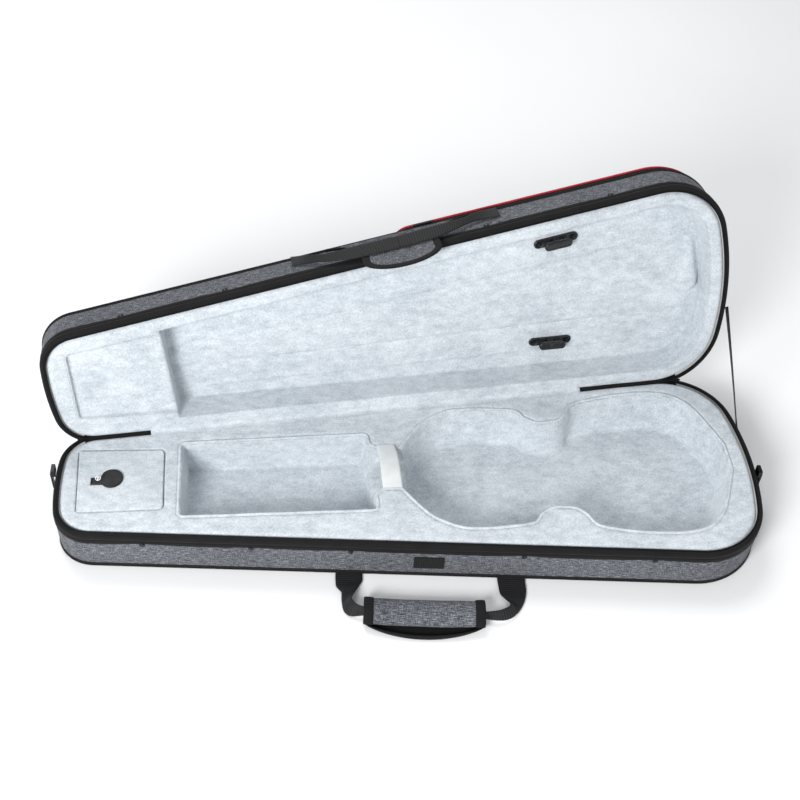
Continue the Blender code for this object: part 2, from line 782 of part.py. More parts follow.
def oriented_box(name, centre, size, look):
    """Box square to the straight front side: its size is along it, outward and up."""
    along, out, up = (s / 2 for s in size)
    signs = ((-1, -1), (1, -1), (1, 1), (-1, 1))
    loops = [
        [centre + FRONT_ALONG * a * along + FRONT_OUT * b * out + UP * c * up for a, b in signs]
        for c in (-1, 1)
    ]
    return loft(name, loops, look)


def bow_holder(number, x, y, angle_deg, frame):
    """Spinner that holds a bow: a screwed plate and a turning bar on a post."""
    prefix = f"bow_holder_{number}"
    floor = RIM_Z + LID_DEPTH - GAP
    turn = Matrix.Rotation(math.radians(angle_deg), 4, "Z")
    middle = Vector((x * MM, y * MM, 0))

    def obround(length, width, z):
        half = (length - width) / 2
        loop = arc_points((half, 0), (width / 2, width / 2), -90, 90, 6)
        loop += arc_points((-half, 0), (width / 2, width / 2), 90, 270, 6)
        return [middle + turn @ Vector((a, b, z)) for a, b in loop]

    plate_top = floor - 3 * MM
    plate = loft(
        prefix + "_plate",
        [obround(53 * MM, 11 * MM, floor), obround(53 * MM, 11 * MM, plate_top + 0.6 * MM),
         obround(51.6 * MM, 9.6 * MM, plate_top)],
        plastic(), True,
    )
    hang(plate, frame)
    post_top = plate_top - GAP - 8 * MM
    spinner = turned(
        prefix + "_spinner", middle + UP * (plate_top - GAP), -UP,
        ((0, 4.6 * MM), (1.2 * MM, 4.6 * MM), (2.0 * MM, 3.4 * MM), (9.0 * MM, 3.4 * MM)), 12, plastic(),
    )
    bar = loft(
        "cutter",
        [obround(31 * MM, 8 * MM, post_top), obround(33 * MM, 10 * MM, post_top - 1 * MM),
         obround(33 * MM, 10 * MM, post_top - 3.6 * MM), obround(31 * MM, 8 * MM, post_top - 4.6 * MM)],
        plastic(),
    )
    boolean(spinner, bar, "UNION")
    hang(spinner, frame, middle + UP * plate_top)
    for end, label in ((-1, "left"), (1, "right")):
        at = middle + turn @ Vector((end * 20.5 * MM, 0, plate_top - GAP))
        screw = turned(
            f"{prefix}_screw_{label}", at, -UP,
            ((0, 2.8 * MM), (0.6 * MM, 2.6 * MM), (1.0 * MM, 1.4 * MM)), 10, steel(),
        )
        hang(screw, frame)


# ---------------------------------------------------------------- pieces across the hinge

def hinge_tape():
    """Fabric hinge folded into the groove between the two open halves."""
    outward = Vector((-HINGE_AXIS.y, HINGE_AXIS.x, 0))
    fold = -math.radians(LID_OPEN_DEG / 2)
    radial = outward * math.cos(fold) + UP * math.sin(fold)
    normal = radial.cross(HINGE_AXIS).normalized() * 0.2 * MM
    loops = []
    for s in (30 * MM, 700 * MM):
        at = HINGE_POINT + HINGE_AXIS * s
        near = at + radial * 5 * MM
        far = at + radial * 11.5 * MM
        loops.append([near - normal, far - normal, far + normal, near + normal])
    hang(loft("hinge_tape", loops, black_web()), None, HINGE_POINT)


def opened(point):
    """Where a point of the closed lid is with the lid open."""
    turn = Matrix.Rotation(math.radians(-LID_OPEN_DEG), 4, HINGE_AXIS)
    return turn @ (point - HINGE_POINT) + HINGE_POINT


def stay_strap(frame):
    """Webbing at the wide end that stops the lid, with the patches it is sewn to."""
    plane = 401.5 * MM
    low = Vector((plane, 52 * MM, 36 * MM))
    lid_anchor = Vector((plane, 36 * MM, 76 * MM))
    high = opened(lid_anchor)
    high.x = plane
    along = (high - low).normalized()
    across = along.cross(Vector((1, 0, 0))).normalized() * STAY_WIDTH / 2
    ends = (low - along * 8 * MM, high + along * 8 * MM)
    loops = [
        [end - across, end + across, end + across + Vector((1.2 * MM, 0, 0)),
         end - across + Vector((1.2 * MM, 0, 0))]
        for end in ends
    ]
    hang(loft("stay_strap", loops, black_web()), None, HINGE_POINT)
    base_patch = (399.0 * MM, 44 * MM, 25 * MM), (401.2 * MM, 60 * MM, 42 * MM)
    lid_patch = (400.2 * MM, 28 * MM, 69 * MM), (401.2 * MM, 44 * MM, 84 * MM)
    hang(boxed("stay_anchor_base", *base_patch, black_web()))
    hang(boxed("stay_anchor_lid", *lid_patch, black_web()), frame)


# ---------------------------------------------------------------- the case

def build_base():
    shell_half("base", BASE, BASE_HEIGHT, None)
    core_half("base_core", BASE, BASE_HEIGHT, base_hollow, None)
    lining_half("base_lining", BASE, base_hollow, None)
    compartment_lid()
    neck_strap()
    fastening_patch()
    for number, x in enumerate(STUD_X, 1):
        cover_stud(f"base_stud_{number}", x, RIM_Z - TAPE_DEPTH - 0.8 * MM, None)
    base_handle(front_point(17 * MM, 8.5 * MM, 2 * MM))
    zip_slider("zip_slider_narrow", "zip_pull_narrow", -398.4 * MM, -1, 20 * MM)
    zip_slider("zip_slider_wide", "zip_pull_wide", 394.0 * MM, 1, -20 * MM)


def build_lid(frame):
    shell_half("lid", LID, LID_HEIGHT, frame)
    core_half("lid_core", LID, LID_HEIGHT, lid_hollow, frame)
    lining_half("lid_lining", LID, lid_hollow, frame)
    for number, x in enumerate(LID_STUD_X, 1):
        cover_stud(f"lid_stud_{number}", x, RIM_Z + TAPE_DEPTH + 0.8 * MM, frame)
    lid_handle(frame)
    flap(frame)
    music_pocket(frame)
    bow_holder(1, 199, -73, -5.2, frame)
    bow_holder(2, 189, 63, 5.2, frame)


def main():
    for old in list(bpy.data.objects):
        bpy.data.objects.remove(old)
    build_base()
    lid_pivot = pivot("lid_pivot", HINGE_POINT)
    build_lid(lid_pivot)
    hinge_tape()
    stay_strap(lid_pivot)
    lid_pivot.rotation_mode = "AXIS_ANGLE"
    lid_pivot.rotation_axis_angle = (math.radians(-LID_OPEN_DEG), *HINGE_AXIS)


main()
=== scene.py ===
"""Looks of the violin case: plush linings, canvas shell, zip, handles and fittings.

Metres, in the row frame. The lid's pieces are drawn as if the lid were closed and
then turned by OPEN. Depth is the distance from the parting plane into either half,
and offset is the distance outside the line of the zip teeth.
"""

import json
import math

import bmesh
import bpy
import numpy as np
from mathutils import Matrix, Vector
from mathutils.geometry import delaunay_2d_cdt


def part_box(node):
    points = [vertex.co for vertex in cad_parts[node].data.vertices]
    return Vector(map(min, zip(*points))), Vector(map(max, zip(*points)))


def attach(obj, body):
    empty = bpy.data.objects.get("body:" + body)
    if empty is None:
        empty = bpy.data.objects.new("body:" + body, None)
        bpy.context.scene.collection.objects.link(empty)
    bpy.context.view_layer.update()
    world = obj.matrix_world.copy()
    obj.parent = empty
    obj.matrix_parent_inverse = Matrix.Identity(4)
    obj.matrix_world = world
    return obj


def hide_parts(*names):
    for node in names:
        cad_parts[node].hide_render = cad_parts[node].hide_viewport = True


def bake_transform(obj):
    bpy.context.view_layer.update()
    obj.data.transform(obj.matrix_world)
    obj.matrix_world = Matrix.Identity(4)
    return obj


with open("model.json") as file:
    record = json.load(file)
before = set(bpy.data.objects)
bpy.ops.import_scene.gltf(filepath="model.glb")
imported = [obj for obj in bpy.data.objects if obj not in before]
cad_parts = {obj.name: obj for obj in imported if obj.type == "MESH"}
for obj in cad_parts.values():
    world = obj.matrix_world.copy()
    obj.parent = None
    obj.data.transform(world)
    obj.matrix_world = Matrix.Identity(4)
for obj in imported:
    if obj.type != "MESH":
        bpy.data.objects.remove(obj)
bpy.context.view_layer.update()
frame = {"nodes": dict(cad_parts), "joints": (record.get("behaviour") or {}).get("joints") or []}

MM = 0.001
RIM_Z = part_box("base_lining")[1].z + 0.6 * MM
BASE_HEIGHT = RIM_Z
LID_HEIGHT = 51.4 * MM

# Plan at the line of the zip teeth
LENGTH = 800 * MM
NARROW_WIDTH = 128.4 * MM
WIDE_WIDTH = 267.1 * MM
NARROW_BULGE = 6.7 * MM
WIDE_BULGE = 24.5 * MM
SIDE_ANGLE = math.atan2((WIDE_WIDTH - NARROW_WIDTH) / 2, LENGTH - NARROW_BULGE - WIDE_BULGE)
FRONT_ALONG = np.array((math.cos(SIDE_ANGLE), -math.sin(SIDE_ANGLE), 0))
FRONT_OUT = np.array((-math.sin(SIDE_ANGLE), -math.cos(SIDE_ANGLE), 0))

HINGE = next(j for j in frame["joints"] if j["name"] == "lid_hinge")
HINGE_POINT = Vector(HINGE["pos_m"])
HINGE_AXIS = Vector(HINGE["axis"])
HINGE_START = np.array(HINGE_POINT[:2])
HINGE_ALONG = np.array(HINGE_AXIS[:2])
HINGE_OUT = np.array((-HINGE_AXIS.y, HINGE_AXIS.x))
OPEN_DEG = max(HINGE["range_deg"])
OPEN = (
    Matrix.Translation(HINGE_POINT)
    @ Matrix.Rotation(math.radians(-OPEN_DEG), 4, HINGE_AXIS)
    @ Matrix.Translation(-HINGE_POINT)
)
BASE, LID = -1, 1
BODY_OF = {BASE: "base", LID: "lid"}
HEIGHT_OF = {BASE: BASE_HEIGHT, LID: LID_HEIGHT}

# Violin cavity: half outline from the neck end, in millimetres
VIOLIN_AXIS_Y = 5
BODY_HALF_OUTLINE = (
    (-13, 27.5), (5, 53), (22, 71), (47, 84), (70, 87), (100, 86), (130, 82), (139, 71),
    (155, 62), (179, 64), (192, 74), (199, 86), (208, 92), (232, 98), (265, 103),
    (300, 104), (328, 97), (347, 78), (361, 47), (372, 18),
)
WELL_CORNERS = ((-264, -49.5), (-45, -51), (-51, 58), (-265, 54))
HATCH_CORNERS = ((-378, -40), (-283, -40), (-285, 46), (-382, 49))
SLOT_CORNERS = ((-57, -38), (-37, -21), (2, -21), (2, 34), (-37, 34), (-57, 49))
PAD_CORNERS = ((-373, -48), (-258, -56), (-258, 53), (-377, 39))
RECESS_X = -266
WELL_RING = (-214, -22)
WELL_DEPTH = 44 * MM
PILE = 0.9 * MM
STUD_X = (-304, -186, -77, 114, 258)
LID_STUD_X = (-304, -186, 114, 258)


# ---------------------------------------------------------------- materials

def shader_of(name, colour, roughness, **sockets):
    """New material with constants on its shader: (material, node tree, shader)."""
    made = bpy.data.materials.new(name)
    made.use_nodes = True
    made.diffuse_color = (*colour, 1)
    shader = made.node_tree.nodes["Principled BSDF"]
    shader.inputs["Base Color"].default_value = (*colour, 1)
    shader.inputs["Roughness"].default_value = roughness
    for socket, value in sockets.items():
        shader.inputs[socket.replace("_", " ")].default_value = value
    return made, made.node_tree, shader


def node(tree, kind, wires=None, **settings):
    """Node with its settings; wires gives each input a number, a colour or another socket."""
    made = tree.nodes.new("ShaderNode" + kind)
    for key, value in settings.items():
        setattr(made, key, value)
    for key, value in (wires or {}).items():
        if isinstance(value, bpy.types.NodeSocket):
            tree.links.new(value, made.inputs[key])
        else:
            made.inputs[key].default_value = value
    return made


def scaled_coords(tree, scale, source="Object"):
    """Texture coordinates times a scale along each axis."""
    coords = node(tree, "TexCoord")
    return node(tree, "Mapping", {"Vector": coords.outputs[source], "Scale": scale}).outputs[0]


def noise(tree, scale, detail=2.0, source="Object", rough=0.55):
    """Noise value; scale is cells per metre along each axis."""
    scale = scale if hasattr(scale, "__len__") else (scale,) * 3
    wires = {"Vector": scaled_coords(tree, scale, source), "Scale": 1.0, "Detail": detail, "Roughness": rough}
    return node(tree, "TexNoise", wires).outputs["Fac"]


def math_node(tree, operation, a, b):
    """Value of one operation on two values."""
    return node(tree, "Math", {0: a, 1: b}, operation=operation).outputs[0]


def blended(tree, *parts):
    """Sum of values, each with its share."""
    total = None
    for value, share in parts:
        portion = math_node(tree, "MULTIPLY", value, share)
        total = portion if total is None else math_node(tree, "ADD", total, portion)
    return total


def ramp(tree, factor, stops):
    """Colour ramp through (position, colour) stops."""
    made = node(tree, "ValToRGB", {0: factor})
    elements = made.color_ramp.elements
    while len(elements) < len(stops):
        elements.new(0.5)
    for element, (position, colour) in zip(elements, stops):
        element.position = position
        element.color = (*colour, 1)
    return made.outputs[0]


def tint(tree, shader, factor, stops, socket="Base Color"):
    """Drives a socket of the shader by a ramp through (position, colour) stops."""
    tree.links.new(ramp(tree, factor, stops), shader.inputs[socket])


def bump(tree, shader, height, distance, strength=1.0):
    """Relief from a height of nought to one, with its depth in metres."""
    made = node(tree, "Bump", {"Height": height, "Distance": distance, "Strength": strength})
    tree.links.new(made.outputs[0], shader.inputs["Normal"])


def bands(tree, scale, direction="X", source="UV", profile="SIN"):
    """Repeating bands; scale is bands per metre."""
    coords = scaled_coords(tree, (1, 1, 1), source)
    return node(
        tree, "TexWave", {"Vector": coords, "Scale": scale * 0.314159, "Distortion": 0.0},
        wave_type="BANDS", bands_direction=direction, wave_profile=profile,
    ).outputs["Fac"]


def canvas_look():
    """Grey melange canvas: long slubs along the band, short cross threads, plain weave."""
    made, tree, shader = shader_of(
        "melange_canvas", (0.17, 0.18, 0.2), 0.88, Sheen_Weight=0.06, Specular_IOR_Level=0.25,
    )
    slub = noise(tree, (110, 1150, 1), 3.0, "UV", 0.7)
    cross = noise(tree, (950, 170, 1), 2.0, "UV", 0.6)
    speck = noise(tree, (700, 900, 1), 1.0, "UV", 0.5)
    patches = noise(tree, 14, 2.0)
    mixed = blended(tree, (slub, 0.58), (cross, 0.24), (speck, 0.18), (patches, 0.05))
    tint(tree, shader, mixed, (
        (0.42, (0.016, 0.018, 0.023)), (0.50, (0.07, 0.075, 0.088)),
        (0.56, (0.14, 0.148, 0.165)), (0.64, (0.34, 0.35, 0.37)),
    ))
    weave = math_node(tree, "MULTIPLY", bands(tree, 1250, "X"), bands(tree, 1250, "Y"))
    bump(tree, shader, math_node(tree, "ADD", weave, mixed), 0.25 * MM, 0.8)
    return made


def plush_look(name, dark, light):
    """Short-pile velour: mottled by the lie of the pile, soft sheen."""
    made, tree, shader = shader_of(name, light, 0.95, Sheen_Weight=0.35, Sheen_Roughness=0.5)
    pile = noise(tree, 520, 3.0, rough=0.75)
    nap = noise(tree, (70, 130, 130), 3.0, rough=0.6)
    drift = noise(tree, 16, 2.0)
    mixed = blended(tree, (pile, 0.5), (nap, 0.32), (drift, 0.18))
    tint(tree, shader, mixed, ((0.36, dark), (0.62, light)))
    fine = noise(tree, 1500, 2.0, rough=0.6)
    bump(tree, shader, math_node(tree, "ADD", fine, pile), 0.45 * MM, 0.75)
    return made


def tape_look(name, colour, pitch, source="UV"):
    """Black twill tape: fine slanted ridges, slightly dusty."""
    made, tree, shader = shader_of(name, colour, 0.8, Sheen_Weight=0.03, Specular_IOR_Level=0.2)
    ridges = bands(tree, pitch, "DIAGONAL", source)
    dust = noise(tree, 60, 3.0)
    fuzz = noise(tree, 1400, 2.0)
    lighter = tuple(c * 1.9 + 0.0035 for c in colour)
    mixed = blended(tree, (ridges, 0.35), (dust, 0.65))
    tint(tree, shader, mixed, ((0.25, colour), (0.8, lighter)))
    bump(tree, shader, math_node(tree, "ADD", ridges, math_node(tree, "MULTIPLY", fuzz, 0.5)), 0.18 * MM, 0.8)
    return made


def webbing_look():
    """Ribbed webbing: cross ribs and the fine twill between them."""
    made, tree, shader = shader_of(
        "ribbed_webbing", (0.01, 0.01, 0.011), 0.6, Sheen_Weight=0.04, Specular_IOR_Level=0.3,
    )
    threads = bands(tree, 1100, "Y")
    ribs = bands(tree, 330, "X")
    fuzz = noise(tree, 900, 2.0)
    mixed = blended(tree, (ribs, 0.6), (fuzz, 0.4))
    tint(tree, shader, mixed, ((0.25, (0.0025, 0.0025, 0.003)), (0.85, (0.018, 0.018, 0.019))))
    bump(tree, shader, math_node(tree, "ADD", threads, fuzz), 0.15 * MM, 0.8)
    return made


def satin_look():
    """White satin ribbon with fine threads along it."""
    made, tree, shader = shader_of(
        "white_satin", (0.8, 0.815, 0.815), 0.34, Sheen_Weight=0.25, Anisotropic=0.5,
    )
    threads = bands(tree, 1700, "Y")
    cloud = noise(tree, 45, 2.0)
    tint(tree, shader, cloud, ((0.3, (0.58, 0.605, 0.605)), (0.7, (0.7, 0.715, 0.71))))
    bump(tree, shader, threads, 0.06 * MM, 0.5)
    return made


def leather_look():
    """Matte black leather with a fine pebbled grain."""
    made, tree, shader = shader_of("grained_leather", (0.012, 0.012, 0.013), 0.5, Specular_IOR_Level=0.35)
    grain = node(
        tree, "TexVoronoi", {"Vector": scaled_coords(tree, (1, 1, 1)), "Scale": 900.0},
        feature="DISTANCE_TO_EDGE",
    ).outputs["Distance"]
    scuffs = noise(tree, 90, 4.0, rough=0.7)
    tint(tree, shader, scuffs, ((0.35, (0.004, 0.004, 0.0045)), (0.8, (0.02, 0.02, 0.022))))
    bump(tree, shader, grain, 0.2 * MM, 0.8)
    return made


def plastic_look():
    """Moulded black plastic with a faint flow texture."""
    made, tree, shader = shader_of("moulded_plastic", (0.009, 0.009, 0.01), 0.22)
    flow = noise(tree, 320, 3.0)
    tint(tree, shader, flow, ((0.3, (0.16,) * 3), (0.75, (0.36,) * 3)), "Roughness")
    bump(tree, shader, flow, 0.05 * MM, 0.5)
    return made


def metal_look(name, colour, roughness):
    """Plated metal with fine polishing marks."""
    made, tree, shader = shader_of(name, colour, roughness, Metallic=1.0)
    marks = noise(tree, (2200, 160, 160), 3.0)
    low = (max(roughness - 0.1, 0.05),) * 3
    tint(tree, shader, marks, ((0.3, low), (0.75, (roughness + 0.15,) * 3)), "Roughness")
    bump(tree, shader, marks, 0.03 * MM, 0.5)
    return made


def hook_look():
    """Hook-and-loop fabric: dense rows of tiny hooks."""
    made, tree, shader = shader_of(
        "hook_and_loop", (0.008, 0.008, 0.009), 0.85, Sheen_Weight=0.04, Specular_IOR_Level=0.2,
    )
    rows = math_node(tree, "MULTIPLY", bands(tree, 520, "X"), bands(tree, 520, "Y"))
    fuzz = noise(tree, 1600, 2.0)
    mixed = math_node(tree, "ADD", rows, math_node(tree, "MULTIPLY", fuzz, 0.5))
    tint(tree, shader, mixed, ((0.3, (0.002, 0.002, 0.0023)), (1.0, (0.02, 0.02, 0.021))))
    bump(tree, shader, mixed, 0.4 * MM, 1.0)
    return made


def foam_look():
    """Closed-cell foam."""
    made, tree, shader = shader_of("moulded_foam", (0.7, 0.7, 0.68), 0.9)
    cells = noise(tree, 700, 3.0)
    tint(tree, shader, cells, ((0.3, (0.6, 0.6, 0.58)), (0.7, (0.74, 0.74, 0.72))))
    bump(tree, shader, cells, 0.3 * MM)
    return made


def floor_look():
    """Pale floor, a little uneven in tone."""
    made, tree, shader = shader_of("studio_floor", (0.9, 0.9, 0.9), 0.8)
    shade = noise(tree, 3, 2.0)
    tint(tree, shader, shade, ((0.3, (0.89,) * 3), (0.7, (0.91,) * 3)))
    return made


CANVAS = canvas_look()
PLUSH = plush_look("pale_velour", (0.36, 0.405, 0.44), (0.68, 0.72, 0.755))
TAPE = tape_look("black_tape", (0.0035, 0.0033, 0.0037), 800)
PIPING = tape_look("black_piping", (0.003, 0.003, 0.0034), 500)
RED = tape_look("red_piping_cloth", (0.30, 0.02, 0.03), 500)
WEBBING = webbing_look()
SATIN = satin_look()
LEATHER = leather_look()
PLASTIC = plastic_look()
TEETH = metal_look("dark_teeth", (0.02, 0.021, 0.022), 0.6)
STEEL = metal_look("bright_steel", (0.66, 0.65, 0.63), 0.28)
HOOKS = hook_look()
PATCH = tape_look("sewn_patch", (0.004, 0.004, 0.0045), 800, "Object")
DARK_STEEL = metal_look("black_nickel", (0.03, 0.03, 0.032), 0.35)
FOAM = foam_look()


# ---------------------------------------------------------------- meshes

def in_scene(name, data):
    """New object in the scene with the data."""
    made = bpy.data.objects.new(name, data)
    bpy.context.scene.collection.objects.link(made)
    return made


def add_piece(name, mesh, look, body, replaces=()):
    """Puts a finished mesh in the scene, on its body."""
    mesh.materials.append(look)
    mesh.shade_smooth()
    made = in_scene(name, mesh)
    if body:
        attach(made, body)
    if replaces:
        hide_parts(*([replaces] if isinstance(replaces, str) else replaces))
    return made


def placed(points, side=BASE):
    """Points of (x, y, depth) in the row frame, the lid's turned to its open place."""
    points = np.asarray(points, float)
    shape = points.shape
    flat = points.reshape(-1, 3).copy()
    flat[:, 2] = RIM_Z + side * flat[:, 2]
    if side == LID:
        flat = opened(flat)
    return flat.reshape(shape)


def opened(points):
    """Points of the closed lid, in the row frame, where they are with the lid open."""
    turn = np.array(OPEN, float)
    return np.asarray(points, float) @ turn[:3, :3].T + turn[:3, 3]


def full_turn(count):
    """Even angles once round."""
    return np.linspace(0, 2 * math.pi, count + 1)[:-1]


def path_length(points, wrap):
    """Distance along a line of points, with one more entry that closes it if it wraps."""
    line = np.vstack([points, points[:1]]) if wrap else points
    return np.concatenate([[0], np.cumsum(np.linalg.norm(np.diff(line, axis=0), axis=1))])


def grid_mesh(name, grid, wrap_rows=False, wrap_columns=False, caps=False):
    """Mesh through a grid of points, rows by columns, with UV in metres along both."""
    rows, columns = grid.shape[:2]
    middle = grid[rows // 2]
    along = path_length(middle, wrap_columns)
    across = path_length(grid[:, columns // 2], wrap_rows)
    faces = []
    corners = []
    for r in range(rows if wrap_rows else rows - 1):
        for c in range(columns if wrap_columns else columns - 1):
            r2, c2 = (r + 1) % rows, (c + 1) % columns
            faces.append((r * columns + c, r * columns + c2, r2 * columns + c2, r2 * columns + c))
            corners.append((
                (along[c], across[r]), (along[c + 1], across[r]),
                (along[c + 1], across[r + 1]), (along[c], across[r + 1]),
            ))
    uv = [xy for face in corners for xy in face]
    if caps and wrap_columns:
        for r in (0, rows - 1):
            ring_face = [r * columns + c for c in range(columns)]
            faces.append(tuple(ring_face))
            uv += [(grid[r, c, 0], grid[r, c, 1]) for c in range(columns)]
    if caps and wrap_rows:
        for c in (0, columns - 1):
            faces.append(tuple(r * columns + c for r in range(rows)))
            uv += [(grid[r, c, 0], grid[r, c, 2]) for r in range(rows)]
    return mesh_from(name, grid.reshape(-1, 3), faces, uv)


def mesh_from(name, vertices, faces, uv=None):
    """Mesh with outward faces and its UV, which lists one pair for each face corner."""
    mesh = bpy.data.meshes.new(name)
    mesh.from_pydata([tuple(v) for v in vertices], [], faces)
    if uv is not None:
        layer = mesh.uv_layers.new(name="UVMap")
        layer.data.foreach_set("uv", np.array(uv, np.float32).ravel())
    return outward_faces(mesh)


def outward_faces(mesh, merge=0.0):
    """The mesh with its faces outward, once vertices nearer than merge are joined."""
    work = bmesh.new()
    work.from_mesh(mesh)
    if merge:
        bmesh.ops.remove_doubles(work, verts=work.verts, dist=merge)
    bmesh.ops.recalc_face_normals(work, faces=work.faces)
    work.to_mesh(mesh)
    work.free()
    return mesh


def joined(name, meshes):
    """One mesh from several."""
    work = bmesh.new()
    for mesh in meshes:
        work.from_mesh(mesh)
        bpy.data.meshes.remove(mesh)
    mesh = bpy.data.meshes.new(name)
    work.to_mesh(mesh)
    work.free()
    return mesh


# ---------------------------------------------------------------- outlines

def rounded_outline(corners, spacing=3 * MM):
    """Points and outward normals around an anticlockwise polygon of (x, y, radius) corners."""
    points = []
    normals = []
    count = len(corners)
    for i, (x, y, radius) in enumerate(corners):
        here = np.array((x, y))
        before = here - corners[i - 1][:2]
        before /= np.linalg.norm(before)
        after = np.array(corners[(i + 1) % count][:2]) - here
        after /= np.linalg.norm(after)
        turn = math.atan2(before[0] * after[1] - before[1] * after[0], before @ after)
        start = here - before * radius * math.tan(turn / 2)
        centre = start + np.array((-before[1], before[0])) * radius
        first = math.atan2(-before[0], before[1])
        if points:
            add_straight(points, normals, start, spacing)
        steps = max(3, math.ceil(abs(radius * turn) / spacing))
        for step in range(steps + 1):
            angle = first + turn * step / steps
            normal = np.array((math.cos(angle), math.sin(angle)))
            points.append(centre + normal * radius)
            normals.append(normal)
    add_straight(points, normals, points[0], spacing)
    return np.array(points), np.array(normals)


def add_straight(points, normals, end, spacing):
    """Points between the last one and the end of a straight stretch, both left out."""
    start = points[-1]
    steps = math.ceil(np.linalg.norm(end - start) / spacing)
    for step in range(1, steps):
        points.append(start + (end - start) * step / steps)
        normals.append(normals[len(normals) - 1])


def case_outline():
    """Plan of the case at the zip teeth: two bulged ends and straight sides that spread."""
    narrow_x = -LENGTH / 2 + NARROW_BULGE
    wide_x = LENGTH / 2 - WIDE_BULGE
    return rounded_outline((
        (-LENGTH / 2, 0, 297 * MM),
        (narrow_x, -NARROW_WIDTH / 2, 37.7 * MM), (wide_x, -WIDE_WIDTH / 2, 71.4 * MM),
        (LENGTH / 2, 0, 355 * MM),
        (wide_x, WIDE_WIDTH / 2, 71.4 * MM), (narrow_x, NARROW_WIDTH / 2, 37.7 * MM),
    ))


CASE = case_outline()


def half_width(x):
    """Distance of the straight side from the centre line."""
    return WIDE_WIDTH / 2 - (LENGTH / 2 - WIDE_BULGE - x) * math.tan(SIDE_ANGLE)


def grown(outline, offset):
    """Points of an outline moved outwards, by a number or by one number per point."""
    points, normals = outline
    offset = np.asarray(offset, float)
    return points + normals * (offset[:, None] if offset.ndim else offset)


def front_point(x, offset, z):
    """Row-frame point outside the straight front side of the closed case, millimetres."""
    return np.array((x * MM, -half_width(x * MM), z * MM)) + FRONT_OUT * offset * MM


def smooth_line(points, spacing):
    """Catmull-Rom curve through points of any dimension, resampled evenly."""
    control = np.array([points[0], *points, points[-1]], float)
    line = []
    for i in range(1, len(control) - 2):
        p0, p1, p2, p3 = control[i - 1:i + 3]
        for t in np.linspace(0, 1, 24, endpoint=False):
            line.append(0.5 * (2 * p1 + (p2 - p0) * t + (2 * p0 - 5 * p1 + 4 * p2 - p3) * t**2
                               + (3 * p1 - p0 - 3 * p2 + p3) * t**3))
    line.append(control[-1])
    line = np.array(line)
    return resampled(line, max(2, math.ceil(path_length(line, False)[-1] / spacing)))


def resampled(line, count):
    """The line with count even steps."""
    lengths = path_length(line, False)
    wanted = np.linspace(0, lengths[-1], count + 1)
    return np.stack([np.interp(wanted, lengths, line[:, i]) for i in range(line.shape[1])], axis=1)


def loop_outline(points):
    """Points and outward normals of an anticlockwise loop of any shape."""
    points = np.asarray(points, float)
    tangent = np.roll(points, -1, axis=0) - np.roll(points, 1, axis=0)
    normals = np.stack([tangent[:, 1], -tangent[:, 0]], axis=1)
    return points, normals / np.linalg.norm(normals, axis=1)[:, None]


def violin_outline():
    """Body of the violin, anticlockwise from its neck end."""
    front = smooth_line([(x * MM, -w * MM) for x, w in BODY_HALF_OUTLINE], 2.6 * MM)
    back = front[::-1] * (1, -1)
    neck_end = np.linspace(back[-1], front[0], 20)[1:-1]
    tail_end = np.linspace(front[-1], back[0], 14)[1:-1]
    return loop_outline(np.vstack([front, tail_end, back, neck_end]) + (0, VIOLIN_AXIS_Y * MM))


def scaled(loop, factors):
    """A loop scaled about the middle of its box."""
    middle = (loop.min(0) + loop.max(0)) / 2
    return middle + (loop - middle) * factors


def cornered(corners_mm, radius_mm, spacing=2.6 * MM):
    """Outline of a polygon with one radius at every corner."""
    return rounded_outline([(x * MM, y * MM, radius_mm * MM) for x, y in corners_mm], spacing)


# ---------------------------------------------------------------- fields over the plan

def signed_distance(points, loop, reach=20 * MM):
    """Distance to a closed loop, positive inside it; beyond reach outside its box it is not measured."""
    low, high = loop.min(0) - reach, loop.max(0) + reach
    near = np.where(((points > low) & (points < high)).all(1))[0]
    ends = np.roll(loop, -1, axis=0)
    edge = ends - loop
    length2 = (edge**2).sum(1) + 1e-18
    rise = np.where(edge[:, 1] == 0, 1e-12, edge[:, 1])
    found = np.full(len(points), -reach)
    for start in range(0, len(near), 1500):
        index = near[start:start + 1500]
        gap = points[index, None, :] - loop
        t = np.clip((gap * edge).sum(2) / length2, 0, 1)
        off = gap - t[..., None] * edge
        crosses = (gap[..., 1] < 0) != (points[index, None, 1] < ends[:, 1])
        crosses &= gap[..., 0] < edge[:, 0] * gap[..., 1] / rise
        inside = crosses.sum(1) % 2 == 1
        found[index] = np.where(inside, 1, -1) * np.sqrt((off**2).sum(2).min(1))
    return found


def inside_case(points):
    """Distance inside the case outline, which is convex, so its nearest edge line gives it."""
    loop, normals = CASE
    return ((loop * normals).sum(1) - points @ normals.T).min(1)


def smoothstep(value, low, high):
    """Smooth rise from nought at low to one at high."""
    t = np.clip((value - low) / (high - low), 0, 1)
    return t * t * (3 - 2 * t)


class Cavity:
    """Hollow between a top outline and a smaller floor outline with matching points."""

    def __init__(self, top, floor, depth):
        self.top, self.floor, self.depth = top, floor, depth

    def depth_at(self, points):
        """Depth of the hollow at plan points, nought outside it."""
        to_top = signed_distance(points, self.top)
        to_floor = -signed_distance(points, self.floor)
        part = np.where(to_floor <= 0, 1.0, to_top / (to_top + np.maximum(to_floor, 1e-9)))
        part = np.clip(part, 0, 1)
        eased = part - 0.035 * np.sin(np.clip((part - 0.8) / 0.2, 0, 1) * math.pi)
        return np.where(to_top > 0, self.depth * eased, 0.0)

    def level_points(self, parts):
        """Loops round the walls, with their depths, at parts of the way down."""
        return [(self.top + (self.floor - self.top) * part, self.depth * part) for part in parts]


def deepest(cavities, points):
    """Depth of the deepest cavity at each point, nought outside them all."""
    return np.max([c.depth_at(points) for c in cavities], axis=0)


RIM_OFFSETS = (0, 0.6, 1.4, 2.4, 3.6, 5, 7.5)


